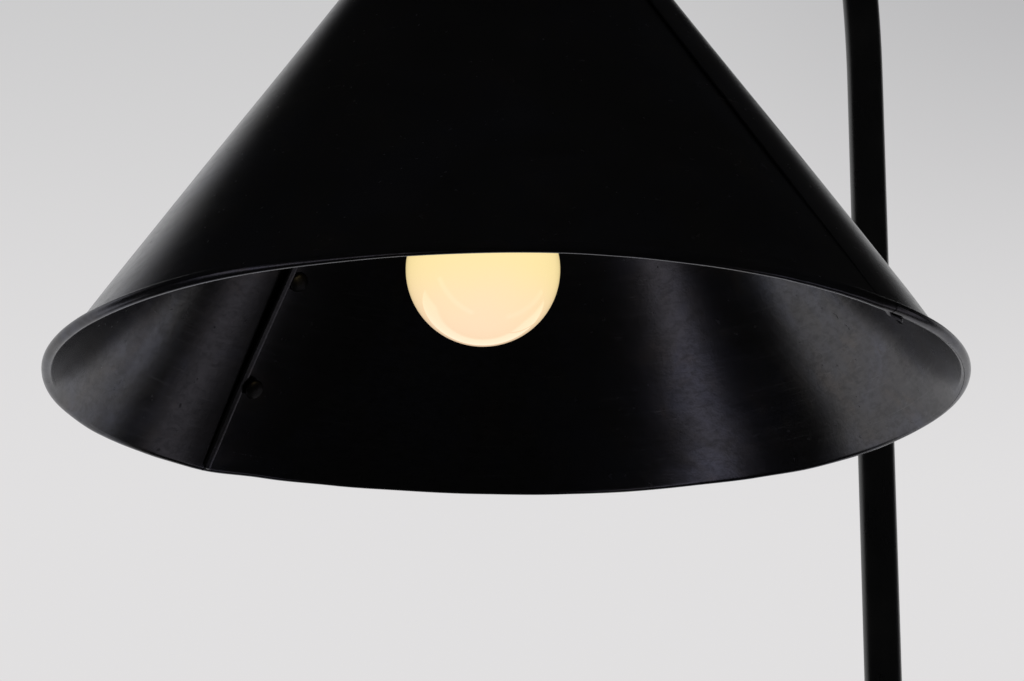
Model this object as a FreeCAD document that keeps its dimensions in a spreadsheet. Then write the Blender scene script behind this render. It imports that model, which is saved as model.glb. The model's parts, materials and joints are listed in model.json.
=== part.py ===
import FreeCAD, Part

# Arc floor lamp with a riveted cone shade, as an assembly of separate pieces.
#
# Row frame, millimetres: origin on the floor at the centre of the round base, +Z up, +X from the
# stem towards the shade. Heights of shade pieces are counted from the rim plane, the lowest plane
# of the shade.

import math
import os

import Sketcher

App = FreeCAD
doc = App.newDocument("ArcFloorLamp")
sheet = doc.addObject("Spreadsheet::Sheet", "dims")

# Driving dimensions: alias, value, what it is
DRIVING = [
    ("pad_radius", 195, "felt under the base"),
    ("pad_thick", 2, "felt thickness"),
    ("plate_radius", 203, "steel base disc"),
    ("plate_thick", 20, "steel base disc"),
    ("stem_setback", 124, "stem axis behind the base's centre"),
    ("tube_radius", 12.7, "outside of every stem tube"),
    ("tube_wall", 1.6, "wall of every stem tube"),
    ("joint_height", 870, "where the lower tube meets the arc tube"),
    ("spring_height", 1610, "where the straight stem turns into the arc"),
    ("arc_reach", 654, "stem axis to shade axis"),
    ("tube_tail", 18, "straight end of the arc tube"),
    ("rim_height", 1220, "rim plane above the floor"),
    ("cone_radius", 229, "cone's outer face carried down to the rim plane"),
    ("cone_angle", 34.4, "half angle of the cone"),
    ("cone_top", 285, "top edge of the sheets above the rim plane"),
    ("sheet_thick", 0.9, "shade sheet"),
    ("flare_top", 22, "where the sheet starts to flare, above the rim plane"),
    ("bead_radius", 233.5, "rim wire's centre line"),
    ("wire_radius", 2.0, "rim wire"),
    ("front_hem", 77.8, "angle of the front sheet's hemmed edge about the shade axis"),
    ("rear_hem", -110.4, "angle of the rear sheet's hemmed edge about the shade axis"),
    ("lap_width", 18, "overlap of the two sheets at a seam"),
    ("hem_width", 4.6, "folded edge along each seam"),
    ("rivet_line", 10.4, "rivets' distance from the hemmed edge"),
    ("rivet_pitch", 65.5, "rivet spacing up the slope"),
    ("rivet_start", 46.6, "first rivet up the slope from the rim plane"),
    ("rivet_head", 5.6, "rivet head's radius"),
    ("ball_radius", 12, "ball of the shade's joint"),
    ("ball_height", 345, "ball centre above the rim plane"),
    ("cap_height", 296, "top of the shade cap above the rim plane"),
    ("thread_radius", 5, "hollow M10 threads that carry the lead"),
    ("lead_radius", 3, "two-core lead inside the lamp"),
    ("bend_start", 255.4, "where the drop pipe starts to lean, above the rim plane"),
    ("bend_length", 64, "bent stretch of the drop pipe"),
    ("bend_angle", 4.27, "lean of the drop pipe and lampholder"),
    ("bend_heading", -66.9, "direction of that lean about the shade axis"),
    ("bulb_drop", 129, "end of the bend to the bulb's centre"),
    ("bulb_radius", 40, "globe bulb"),
    ("shell_radius", 20.5, "outside of the lampholder"),
]
for row, (alias, value, meaning) in enumerate(DRIVING, start=1):
    sheet.set(f"A{row}", meaning)
    sheet.set(f"B{row}", str(value))
    sheet.setAlias(f"B{row}", alias)
doc.recompute()


class Size:
    """A number that remembers its spreadsheet expression, so that properties can be bound to it."""

    def __init__(self, value, text):
        self.value = float(value)
        self.text = text

    def _join(self, other, sign, value, swap=False):
        text = other.text if isinstance(other, Size) else repr(float(other))
        left, right = (text, self.text) if swap else (self.text, text)
        return Size(value, f"({left} {sign} {right})")

    def __add__(self, other):
        return self._join(other, "+", self.value + float(other))

    def __radd__(self, other):
        return self._join(other, "+", float(other) + self.value, swap=True)

    def __sub__(self, other):
        return self._join(other, "-", self.value - float(other))

    def __rsub__(self, other):
        return self._join(other, "-", float(other) - self.value, swap=True)

    def __mul__(self, other):
        return self._join(other, "*", self.value * float(other))

    __rmul__ = __mul__

    def __truediv__(self, other):
        return self._join(other, "/", self.value / float(other))

    def __neg__(self):
        return Size(-self.value, f"(0 - {self.text})")

    def __float__(self):
        return self.value


def dim(alias):
    return Size(float(sheet.get(alias)), f"dims.{alias}")


def bind(item, prop, size):
    """Binds a property to a size, or sets it when the size is a plain number."""
    if isinstance(size, Size):
        item.setExpression(prop, size.text)
    else:
        item.setExpression(prop, repr(float(size)))


def place(item, x=0.0, y=0.0, z=0.0):
    for axis, size in (("x", x), ("y", y), ("z", z)):
        if float(size):
            bind(item, f"Placement.Base.{axis}", size)
    return item


# ---- building blocks ------------------------------------------------------------------------------


def cylinder(label, radius, height, x=0.0, y=0.0, z=0.0, direction=None):
    item = doc.addObject("Part::Cylinder", label)
    bind(item, "Radius", radius)
    bind(item, "Height", height)
    if direction is not None:
        item.Placement = App.Placement(App.Vector(), App.Rotation(App.Vector(0, 0, 1), direction))
    return place(item, x, y, z)


def box(label, length, width, height, x=0.0, y=0.0, z=0.0):
    """A box centred on x and y, standing on z."""
    item = doc.addObject("Part::Box", label)
    bind(item, "Length", length)
    bind(item, "Width", width)
    bind(item, "Height", height)
    return place(item, x - length / 2, y - width / 2, z)


def ball(label, radius, x=0.0, z=0.0):
    item = doc.addObject("Part::Sphere", label)
    bind(item, "Radius", radius)
    return place(item, x, 0.0, z)


def fuse(label, *shapes):
    item = doc.addObject("Part::MultiFuse", label)
    item.Shapes = list(shapes)
    item.Refine = True
    return item


def cut(label, base, *tools):
    item = doc.addObject("Part::Cut", label)
    item.Base = base
    item.Tool = tools[0] if len(tools) == 1 else fuse(label + "_tools", *tools)
    return item


def turned(label, profile, x=0.0, y=0.0, z=0.0):
    """A lathe-turned piece: a closed outline of (radius, height) corners turned about its own Z axis."""
    body = doc.addObject("PartDesign::Body", label)
    sketch = body.newObject("Sketcher::SketchObject", label + "_outline")
    plane = next(item for item in body.Origin.OriginFeatures if item.Role == "XZ_Plane")
    sketch.AttachmentSupport = [(plane, "")]
    sketch.MapMode = "FlatFace"
    points = [App.Vector(float(r), float(h), 0) for r, h in profile]
    count = len(points)
    for i in range(count):
        sketch.addGeometry(Part.LineSegment(points[i], points[(i + 1) % count]), False)
    for i in range(count):
        sketch.addConstraint(Sketcher.Constraint("Coincident", i, 2, (i + 1) % count, 1))
    for i, (r, h) in enumerate(profile):
        for kind, axis, size in (("DistanceX", -2, r), ("DistanceY", -1, h)):
            if abs(float(size)) < 1e-9:
                sketch.addConstraint(Sketcher.Constraint("PointOnObject", i, 1, axis))
                continue
            made = sketch.addConstraint(Sketcher.Constraint(kind, -1, 1, i, 1, float(size)))
            if isinstance(size, Size):
                sketch.setExpression(f"Constraints[{made}]", size.text)
    turn = body.newObject("PartDesign::Revolution", label + "_turn")
    turn.Profile = sketch
    turn.ReferenceAxis = (sketch, ["V_Axis"])
    turn.Angle = 360
    body.Tip = turn
    return place(body, x, y, z)


def ring(label, inner, outer, height, x=0.0, y=0.0, z=0.0):
    """A plain washer, bush or sleeve."""
    return turned(label, [(inner, 0), (outer, 0), (outer, height), (inner, height)], x, y, z)


def hexagon(label, across_flats, height, x, z, hole):
    """A hexagon nut with a plain bore, standing on z."""
    prism = doc.addObject("Part::Prism", label + "_hex")
    prism.Polygon = 6
    bind(prism, "Circumradius", across_flats / math.sqrt(3))
    bind(prism, "Height", height)
    place(prism, x, 0.0, z)
    return cut(label, prism, cylinder(label + "_bore", hole, height + 2, x, 0.0, z - 1))


def shaped(label, shape, placement=None):
    """A piece whose outline is worked out here, because no primitive fits it."""
    item = doc.addObject("Part::Feature", label)
    item.Shape = shape
    if placement is not None:
        item.Placement = placement
    return item


def group(shapes):
    return Part.makeCompound([s for s in shapes])


def on_circle(radius, angle, height=0.0):
    return App.Vector(radius * math.cos(angle), radius * math.sin(angle), height)


# ---- where things are -----------------------------------------------------------------------------

pad_thick = dim("pad_thick")
plate_top = pad_thick + dim("plate_thick")
stem_x = -dim("stem_setback")
shade_x = stem_x + dim("arc_reach")
rim = dim("rim_height")
tube = dim("tube_radius")
tube_bore = tube - dim("tube_wall")
thread = dim("thread_radius")
lead = dim("lead_radius")
spring = dim("spring_height")
ball_z = rim + dim("ball_height")
SLIDE = 0.05  # radial clearance of pieces that fit into each other
RUN = 0.08  # radial clearance of pieces that turn in each other


# ---- base -----------------------------------------------------------------------------------------

pocket_radius = 50.0
pocket_top = plate_top - 6
cover_radius = 57.0
cover_thick = 1.5
spindle_radius = 8.0
collar_screw_ring = 25.0
collar_screw_radius = 2.5
collar_thick = 7.0
collar_height = 36.0
collar_floor = 4.0
bush_wall = 1.05
inlet_z = pad_thick + 8
inlet_radius = 5.5
inlet_length = 26.0
stop_ring = 17.0
stop_pin_radius = 1.5
cover_screw_ring = 53.5


def build_base():
    cylinder("felt_pad", dim("pad_radius"), pad_thick)

    edge = 3.0
    radius = dim("plate_radius")
    disc = turned(
        "plate_disc",
        [
            (0, pad_thick),
            (radius - 1, pad_thick),
            (radius, pad_thick + 1),
            (radius, plate_top - edge),
            (radius - 0.3 * edge, plate_top - 0.3 * edge),
            (radius - edge, plate_top),
            (0, plate_top),
        ],
    )
    pocket = cylinder("plate_pocket", pocket_radius, pocket_top - pad_thick + 1, stem_x, 0.0, pad_thick - 1)
    rebate = cylinder("plate_rebate", cover_radius + 0.3, cover_thick + 1, stem_x, 0.0, pad_thick - 1)
    hole = cylinder("plate_hole", spindle_radius + 0.2, 10, stem_x, 0.0, pocket_top - 2)
    inlet = cylinder(
        "plate_inlet", inlet_radius + SLIDE, 60, -radius - 5, 0.0, inlet_z, App.Vector(1, 0, 0)
    )
    pin_hole = cylinder("plate_pin_hole", stop_pin_radius, 4, stem_x - stop_ring, 0.0, pocket_top - 1)
    screw_holes = [
        cylinder(
            f"plate_screw_hole_{i}",
            collar_screw_radius + 0.2,
            10,
            stem_x + spot.x,
            spot.y,
            pocket_top - 2,
        )
        for i, spot in enumerate(collar_screw_spots())
    ]
    cover_holes = [
        cylinder(f"plate_cover_hole_{i}", 1.5, 8, stem_x + spot.x, spot.y, pad_thick + cover_thick - 1)
        for i, spot in enumerate(cover_screw_spots())
    ]
    cut("base_plate", disc, pocket, rebate, hole, inlet, pin_hole, *screw_holes, *cover_holes)

    cover = cylinder("cover_disc", cover_radius, cover_thick, stem_x, 0.0, pad_thick)
    cover_bores = [
        cylinder(f"cover_bore_{i}", 1.7, cover_thick + 2, stem_x + spot.x, spot.y, pad_thick - 1)
        for i, spot in enumerate(cover_screw_spots())
    ]
    sinks = [
        place(cone(f"cover_sink_{i}", 3.0, 1.7, 1.3), stem_x + spot.x, spot.y, pad_thick)
        for i, spot in enumerate(cover_screw_spots())
    ]
    cut("base_cover", cover, *cover_bores, *sinks)
    screw = Part.makeCone(2.9, 1.4, 1.25).fuse(Part.makeCylinder(1.4, 6.5))
    shaped(
        "cover_screws",
        group(
            [
                screw.translated(App.Vector(float(stem_x) + spot.x, spot.y, float(pad_thick) + 0.05))
                for spot in cover_screw_spots()
            ]
        ),
    )

    # Collar that the stem turns in, screwed on from inside the pocket
    barrel = 19.0
    bore = tube.value + RUN + bush_wall + SLIDE
    collar = turned(
        "collar_blank",
        [
            (spindle_radius + 0.2, 0),
            (32.0, 0),
            (32.0, collar_thick - 2),
            (30.0, collar_thick),
            (barrel + 2, collar_thick),
            (barrel, collar_thick + 2),
            (barrel, collar_height - 1.5),
            (barrel - 1.5, collar_height),
            (bore, collar_height),
            (bore, collar_floor),
            (spindle_radius + 0.2, collar_floor),
        ],
        stem_x,
        0.0,
        plate_top,
    )
    tapped = [
        cylinder(
            f"collar_tap_{i}",
            collar_screw_radius + SLIDE,
            collar_thick,
            stem_x + spot.x,
            spot.y,
            plate_top - 1,
        )
        for i, spot in enumerate(collar_screw_spots())
    ]
    cut("stem_collar", collar, *tapped)
    head, reach = 5.0, 11.5
    screw = Part.makeCylinder(4.2, head, App.Vector(0, 0, -head)).fuse(
        Part.makeCylinder(collar_screw_radius, reach)
    )
    socket = Part.makeCylinder(2.0, 2.6, App.Vector(0, 0, -head - 0.1))
    screw = screw.cut(socket)
    shaped(
        "collar_screws",
        group(
            [
                screw.translated(App.Vector(float(stem_x) + spot.x, spot.y, float(pocket_top)))
                for spot in collar_screw_spots()
            ]
        ),
    )
    ring(
        "swivel_bush",
        tube + RUN,
        tube + RUN + bush_wall,
        collar_height - collar_floor - 1,
        stem_x,
        0.0,
        plate_top + collar_floor,
    )
    ring("thrust_washer", spindle_radius + 0.3, 12.4, 1.0, stem_x, 0.0, plate_top + collar_floor)
    cylinder("stop_pin", stop_pin_radius - 0.02, 5.5, stem_x - stop_ring, 0.0, pocket_top - 2.6)

    # Cord inlet through the rear edge, and the terminal block that the lamp's own lead starts from
    bush = turned(
        "inlet_blank",
        [
            (4.0, -2.5),
            (7.0, -2.5),
            (7.6, -1.9),
            (7.6, -0.9),
            (inlet_radius, 0),
            (inlet_radius, inlet_length),
            (4.0, inlet_length),
        ],
    )
    bush.Placement = App.Placement(
        App.Vector(-float(dim("plate_radius")), 0, float(inlet_z)),
        App.Rotation(App.Vector(0, 0, 1), App.Vector(1, 0, 0)),
    )
    bush.Label = "cord_inlet_bush"
    block_y = 36.0
    block = box("block_body", 22, 11, 9, stem_x, block_y, pad_thick + cover_thick)
    bores = [
        cylinder(
            f"block_bore_{i}",
            2.6,
            20,
            stem_x + side * 5.5,
            block_y - 10,
            pad_thick + cover_thick + 3.4,
            App.Vector(0, 1, 0),
        )
        for i, side in enumerate((-1, 1))
    ]
    wells = [
        cylinder(
            f"block_well_{i}_{j}",
            1.8,
            8,
            stem_x + side * 5.5,
            block_y + along * 2.9,
            pad_thick + cover_thick + 4,
        )
        for i, side in enumerate((-1, 1))
        for j, along in enumerate((-1, 1))
    ]
    cut("terminal_block", block, *bores, *wells)
    contacts = []
    for side in (-1, 1):
        spot = App.Vector(
            float(stem_x) + side * 5.5, block_y - 5, float(pad_thick) + cover_thick + 3.4
        )
        barrel_shape = Part.makeCylinder(2.55, 10, spot, App.Vector(0, 1, 0)).cut(
            Part.makeCylinder(1.6, 12, spot - App.Vector(0, 1, 0), App.Vector(0, 1, 0))
        )
        for along in (2.1, 7.9):
            screw_spot = spot + App.Vector(0, along, 1.7)
            barrel_shape = barrel_shape.fuse(Part.makeCylinder(1.5, 3.6, screw_spot))
        contacts.append(barrel_shape)
    shaped("terminal_contacts", group(contacts))
    # Two stripped cores from the spindle's mouth to the terminal block
    cores = []
    for side in (-1, 1):
        route = [
            App.Vector(float(stem_x) + side * 1.5, 0, 11.5),
            App.Vector(float(stem_x) + side * 1.5, 0, 5.2),
            App.Vector(float(stem_x) + side * 1.5, 14, 5.2),
            App.Vector(float(stem_x) + side * 5.5, 24, 6.9),
            App.Vector(float(stem_x) + side * 5.5, block_y - 3.5, 6.9),
        ]
        cores.append(tube_along(route, 1.2, 0.0, 3.6))
    shaped("base_cores", group(cores))


def cone(label, low_radius, high_radius, height):
    item = doc.addObject("Part::Cone", label)
    bind(item, "Radius1", low_radius)
    bind(item, "Radius2", high_radius)
    bind(item, "Height", height)
    return item


def collar_screw_spots():
    return [on_circle(collar_screw_ring, math.radians(45 + 90 * i)) for i in range(4)]


def cover_screw_spots():
    return [on_circle(cover_screw_ring, math.radians(120 * i)) for i in range(3)]


def tube_along(points, radius, bore, largest=1e9):
    """A round tube along straight runs joined by tangent arcs, one arc for each inner point."""
    edges, start = [], points[0]
    for before, corner, after in zip(points, points[1:], points[2:]):
        into, out = (corner - before), (after - corner)
        turn = into.getAngle(out)
        shorter = min(into.Length, out.Length)
        arc_radius = min(0.45 * shorter / math.tan(turn / 2), largest)
        trim = arc_radius * math.tan(turn / 2)
        into.normalize()
        out.normalize()
        first, last = corner - into * trim, corner + out * trim
        middle_way = (out - into).normalize()
        middle = corner + middle_way * (arc_radius / math.cos(turn / 2) - arc_radius)
        edges += [Part.LineSegment(start, first).toShape(), Part.Arc(first, middle, last).toShape()]
        start = last
    edges.append(Part.LineSegment(start, points[-1]).toShape())
    path = Part.Wire(edges)
    direction = points[1] - points[0]

    def swept(size):
        section = Part.Wire([Part.Circle(points[0], direction, size).toShape()])
        return path.makePipeShell([section], True, False)

    solid = swept(radius)
    expected = math.pi * radius**2 * path.Length
    if abs(solid.Volume - expected) > 0.01 * expected:
        raise SystemExit(f"a swept tube has volume {solid.Volume:.1f}, not {expected:.1f}")
    return solid.cut(swept(bore)) if bore else solid


# ---- stem -----------------------------------------------------------------------------------------

spigot_z = dim("joint_height") - 50
spigot_length = 100.0
grub_radius = 2.5
grub_length = 5.0
grub_heights = (-38.0, -18.0, 18.0, 38.0)
swivel_stop_ring = 9.5
arc_radius = dim("arc_reach") / 2
tail_z = spring - dim("tube_tail")
foot_z = plate_top + collar_floor + 1.0


def build_stem():
    foot_bore = 4.0
    turned(
        "stem_foot",
        [
            (foot_bore, pad_thick + 4.5),
            (spindle_radius, pad_thick + 4.5),
            (spindle_radius, foot_z),
            (tube - 0.2, foot_z),
            (tube - 0.2, foot_z + 2),
            (tube_bore - SLIDE, foot_z + 2),
            (tube_bore - SLIDE, foot_z + 34),
            (foot_bore, foot_z + 34),
        ],
        stem_x,
    )
    ring("friction_washer", spindle_radius + 0.2, 12.0, 1.0, stem_x, 0.0, pocket_top - 1)
    arm = box("stop_arm", 13.0, 4.0, 1.5, stem_x + 12.2, 0.0, pocket_top - 2.5)
    disc = cylinder("stop_disc", 12.0, 1.5, stem_x, 0.0, pocket_top - 2.5)
    hole = cylinder("stop_hole", spindle_radius + SLIDE, 4, stem_x, 0.0, pocket_top - 3.5)
    cut("stop_washer", fuse("stop_blank", disc, arm), hole)
    ring("wave_spring", 9.0, 12.0, 1.4, stem_x, 0.0, pocket_top - 3.9)
    hexagon("spindle_nut", 22.0, 5.4, stem_x, pocket_top - 9.4, spindle_radius + SLIDE)

    lower = ring(
        "lower_blank", tube_bore, tube, dim("joint_height") - foot_z - 2, stem_x, 0.0, foot_z + 2
    )
    cut("lower_tube", lower, *grub_holes("lower", grub_heights[:2], tube + 1, grub_radius + SLIDE))

    joint = dim("joint_height")
    straight = cylinder("arc_straight", tube, spring - joint, stem_x, 0.0, joint)
    straight_bore = cylinder(
        "arc_straight_bore", tube_bore, spring - joint + 1, stem_x, 0.0, joint - 1
    )
    tail = cylinder("arc_tail", tube, dim("tube_tail"), shade_x, 0.0, tail_z)
    tail_bore = cylinder("arc_tail_bore", tube_bore, dim("tube_tail") + 1, shade_x, 0.0, tail_z - 1)
    solid = fuse("arc_solid", straight, half_ring("arc_bend", tube), tail)
    bores = [straight_bore, half_ring("arc_bend_bore", tube_bore), tail_bore]
    cut("arc_tube", solid, *bores, *grub_holes("arc", grub_heights[2:], tube + 1, grub_radius + SLIDE))

    spigot = ring("spigot_blank", 7.0, tube_bore - SLIDE, spigot_length, stem_x, 0.0, spigot_z)
    cut("joint_spigot", spigot, *grub_holes("spigot", grub_heights, tube + 1, grub_radius + SLIDE))
    grubs = []
    for height in grub_heights:
        spot = App.Vector(
            float(stem_x) - tube.value + 0.3, 0, float(dim("joint_height")) + height
        )
        inwards = App.Vector(1, 0, 0)
        grub = Part.makeCylinder(grub_radius, grub_length, spot, inwards)
        socket = Part.makeCylinder(1.25, 2.5, spot - inwards * 0.1, inwards)
        grubs.append(grub.cut(socket))
    shaped("spigot_screws", group(grubs))

    plug = turned(
        "plug_blank",
        [
            (thread + SLIDE, -3),
            (tube - 0.6, -3),
            (tube, -2.4),
            (tube, 0),
            (tube_bore - 0.1, 0),
            (tube_bore - 0.1, 12),
            (thread + SLIDE, 12),
        ],
        shade_x,
        0.0,
        tail_z,
    )
    track = ring("plug_track", 8.0, 11.0, 2.7, shade_x, 0.0, tail_z - 3.5)
    stop = box("plug_stop", 4.0, 2.0, 4.0, shade_x - swivel_stop_ring, 0.0, tail_z - 4)
    cut("end_plug", plug, cut("plug_groove", track, stop))
    turned(
        "swivel_bolt",
        [
            (lead + 0.2, -11.4),
            (8.0, -11.4),
            (8.0, -8.4),
            (thread, -8.4),
            (thread, 11.5),
            (lead + 0.2, 11.5),
        ],
        shade_x,
        0.0,
        tail_z,
    )

    # The lead runs up the middle of the tubes and over the arc, and ends just above the ball's centre
    start, height = App.Vector(float(stem_x), 0, 12.5), float(spring)
    top = App.Vector(float(stem_x) + arc_radius.value, 0, height + arc_radius.value)
    finish = App.Vector(float(shade_x), 0, float(ball_z) + 1.2)
    path = Part.Wire(
        [
            Part.LineSegment(start, App.Vector(start.x, 0, height)).toShape(),
            Part.Arc(
                App.Vector(start.x, 0, height), top, App.Vector(finish.x, 0, height)
            ).toShape(),
            Part.LineSegment(App.Vector(finish.x, 0, height), finish).toShape(),
        ]
    )
    section = Part.Wire([Part.Circle(start, App.Vector(0, 0, 1), lead.value).toShape()])
    solid = path.makePipeShell([section], True, False)
    expected = math.pi * lead.value**2 * path.Length
    if abs(solid.Volume - expected) > 0.01 * expected:
        raise SystemExit(f"the stem lead has volume {solid.Volume:.1f}, not {expected:.1f}")
    print(f"stem lead length {path.Length:.0f} mm")
    shaped("stem_lead", solid)


def half_ring(label, radius):
    """Half a ring in the XZ plane, over the arc's centre."""
    item = doc.addObject("Part::Torus", label)
    bind(item, "Radius1", arc_radius)
    bind(item, "Radius2", radius)
    item.Angle3 = 180
    item.Placement = App.Placement(App.Vector(), App.Rotation(App.Vector(1, 0, 0), 90))
    return place(item, stem_x + arc_radius, 0.0, spring)


def grub_holes(name, heights, length, radius):
    """Radial holes through the stem's rear wall, either side of the tube joint."""
    return [
        cylinder(
            f"{name}_grub_hole_{i}",
            radius,
            length / 2,
            stem_x - length,
            0.0,
            dim("joint_height") + height,
            App.Vector(1, 0, 0),
        )
        for i, height in enumerate(heights)
    ]


# ---- swivelling ball cup --------------------------------------------------------------------------

cup_radius = 16.0
cup_cavity = 13.0
cup_thread = 14.0
cup_top = tail_z - 3.6
ring_clear = 9.35


def build_cup():
    ring("swivel_washer", thread + 0.2, 7.6, 0.6, shade_x, 0.0, tail_z - 3.6)
    floor, bottom = -4.0, -27.4
    cup = turned(
        "cup_blank",
        [
            (thread + RUN, 0),
            (cup_radius - 2, 0),
            (cup_radius, -2),
            (cup_radius, bottom),
            (cup_thread, bottom),
            (cup_thread, bottom + 7),
            (cup_cavity, bottom + 7),
            (cup_cavity, floor),
            (thread + RUN, floor),
        ],
        shade_x,
        0.0,
        cup_top,
    )
    pin = 1.2
    cut("ball_cup", cup, cylinder("cup_pin_hole", pin, 4.0, shade_x + swivel_stop_ring, 0.0, cup_top - 3))
    cylinder("cup_stop_pin", pin - 0.02, 5.1, shade_x + swivel_stop_ring, 0.0, cup_top - 2.95)
    ring("cup_washer", thread + 0.2, 8.0, 0.8, shade_x, 0.0, cup_top - 4.8)
    ring("seat_spring", 9.0, 12.6, 1.0, shade_x, 0.0, cup_top - 5.0)
    seat_blank = ring("seat_blank", 8.6, cup_cavity - 0.1, 14.7, shade_x, 0.0, ball_z + 3.5)
    cut("ball_seat", seat_blank, ball("seat_hollow", dim("ball_radius") + 0.1, shade_x, ball_z))

    blank = turned(
        "ring_blank",
        [
            (6.0, -9.5),
            (cup_radius - 1.2, -9.5),
            (cup_radius, -8.3),
            (cup_radius, -4.1),
            (cup_thread - SLIDE, -4.1),
            (cup_thread - SLIDE, 2.8),
            (6.0, 2.8),
        ],
        shade_x,
        0.0,
        ball_z,
    )
    hollow = ball("ring_hollow", dim("ball_radius") + RUN, shade_x, ball_z)
    mouth = place(cone("ring_mouth", 10.6, ring_clear, 2.1), shade_x, 0.0, ball_z - 9.7)
    cut("cup_ring", blank, hollow, mouth)


# ---- shade ----------------------------------------------------------------------------------------

slope = math.radians(float(dim("cone_angle")))
outward = App.Vector(math.cos(slope), 0, math.sin(slope))  # outward normal of the cone's face
uphill = App.Vector(-math.sin(slope), 0, math.cos(slope))
thick = dim("sheet_thick").value


def cone_point(height, inset=0.0):
    """The point of the cone's outer face at a height above the rim plane, moved inwards by inset."""
    r = dim("cone_radius").value - math.tan(slope) * height
    return App.Vector(r - inset / math.cos(slope), 0, height)


def flare_line(inset):
    """Two corners of the sheet's lower stretch: where the flare starts, and where it meets the rim wire."""
    wire = App.Vector(dim("bead_radius").value, 0, dim("wire_radius").value + thick)
    start = cone_point(dim("flare_top").value)
    to_wire = wire - start
    half = math.asin(dim("wire_radius").value / to_wire.Length)
    heading = math.atan2(to_wire.z, to_wire.x) - half
    along = App.Vector(math.cos(heading), 0, math.sin(heading))
    reach = to_wire.Length * math.cos(half)
    inwards = App.Vector(math.sin(heading), 0, -math.cos(heading))
    bend = (outward * -1 + inwards).normalize()
    corner = start + bend * (inset / math.cos(inwards.getAngle(outward * -1) / 2))
    return corner, start + along * reach + inwards * inset, wire, inwards


def face_between(outer, inner):
    points = [*outer, *reversed(inner)]
    return Part.Face(Part.makePolygon([*points, points[0]]))


def strip_face(first_inset, last_inset, low, high):
    """Section of a strip that follows the sheet's slope between two insets from the outer face."""
    sides = []
    for inset in (first_inset, last_inset):
        corner, foot, _, _ = flare_line(inset)
        share = (low - foot.z) / (corner.z - foot.z)
        sides.append([cone_point(high, inset), corner, foot + (corner - foot) * share])
    return face_between(*sides)


def sheet_face():
    """Section of the main sheet: the cone, the flare, and the wrap round the rim wire."""
    top = dim("cone_top").value
    corner, foot, wire, inwards = flare_line(0.0)
    inner_corner, inner_foot, _, _ = flare_line(thick)
    start = math.atan2(inwards.z, inwards.x)
    wrap = math.radians(285)

    def around(radius, share):
        angle = start + wrap * share
        return wire + App.Vector(math.cos(angle), 0, math.sin(angle)) * radius

    inside, outside = dim("wire_radius").value, dim("wire_radius").value + thick
    edges = [
        Part.LineSegment(cone_point(top, thick), cone_point(top)),
        Part.LineSegment(cone_point(top), corner),
        Part.LineSegment(corner, foot),
        Part.Arc(around(inside, 0), around(inside, 0.5), around(inside, 1)),
        Part.LineSegment(around(inside, 1), around(outside, 1)),
        Part.Arc(around(outside, 1), around(outside, 0.5), around(outside, 0)),
        Part.LineSegment(inner_foot, inner_corner),
        Part.LineSegment(inner_corner, cone_point(top, thick)),
    ]
    return Part.Face(Part.Wire(Part.__sortEdges__([edge.toShape() for edge in edges])))


def turned_between(face, first, last):
    """A section turned about the Z axis from one angle to another, in degrees."""
    solid = face.revolve(App.Vector(), App.Vector(0, 0, 1), last - first)
    solid.rotate(App.Vector(), App.Vector(0, 0, 1), first)
    return solid


def slab(angle, first, last):
    """A box over one side of the axis, between two distances across the radius at an angle."""
    solid = Part.makeBox(260, last - first, 330, App.Vector(0, first, -10))
    solid.rotate(App.Vector(), App.Vector(0, 0, 1), angle)
    return solid


def rivet_spots(hem):
    """Placements of a seam's rivets: Z out of the sheet, origin on the outer face."""
    spots = []
    for i in range(5):
        up = dim("rivet_start").value + i * dim("rivet_pitch").value
        middle = App.Vector(dim("cone_radius").value, 0, 0) + uphill * up
        lean = math.asin(dim("rivet_line").value / middle.x)
        turn = App.Rotation(App.Vector(0, 0, 1), hem - math.degrees(lean))
        tilt = App.Rotation(App.Vector(0, 0, 1), outward)
        spots.append(App.Placement(turn.multVec(middle), turn.multiply(tilt)))
    return spots


def sheet_solid(hem, other_hem):
    """One sheet of the cone. Its hemmed edge lies inside the other sheet, its plain edge outside."""
    lap, gap, bite = dim("lap_width").value, 0.5, 4.0
    hem_top = 262.0
    main = turned_between(sheet_face(), other_hem - 42, hem)
    main = main.cut(slab(other_hem, -260, -lap)).cut(slab(hem, -lap - gap, 12))
    under, fold = thick + 0.05, 1.2
    joggle = turned_between(strip_face(0.3, under + thick, 4.0, 284.0), hem - 75, hem)
    joggle = joggle.common(slab(hem, -lap - gap - bite, -lap - gap))
    flange = turned_between(strip_face(under, under + thick, 4.0, 284.0), hem - 75, hem)
    flange = flange.common(slab(hem, -lap - gap - 1, 0))
    fold_face = strip_face(under + thick - 0.1, under + thick + fold, 4.0, hem_top)
    folded = turned_between(fold_face, hem - 12, hem)
    folded = folded.common(slab(hem, -dim("hem_width").value, 0))
    solid = main.fuse([joggle, flange, folded]).removeSplitter()
    for spot in rivet_spots(hem) + rivet_spots(other_hem):
        hole = Part.makeCylinder(2.45, 12, App.Vector(0, 0, -6))
        hole.Placement = spot
        solid = solid.cut(hole)
    return solid


def rivets(hem):
    """Round-headed rivets with the head inside the shade and the tail filed flush outside."""
    depth = thick + 0.05 + thick
    seat = -depth - 0.25
    head, high = dim("rivet_head").value, 2.3
    crown = (head * head + high * high) / (2 * high)
    shapes = []
    for spot in rivet_spots(hem):
        shank = Part.makeCylinder(2.4, depth + 0.6, App.Vector(0, 0, -depth - 0.5))
        dome = Part.makeSphere(crown, App.Vector(0, 0, seat + crown - high))
        dome = dome.common(Part.makeCylinder(head, 6, App.Vector(0, 0, seat - 6)))
        rivet = shank.fuse(dome).removeSplitter()
        rivet.Placement = spot
        shapes.append(rivet)
    return group(shapes)


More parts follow.
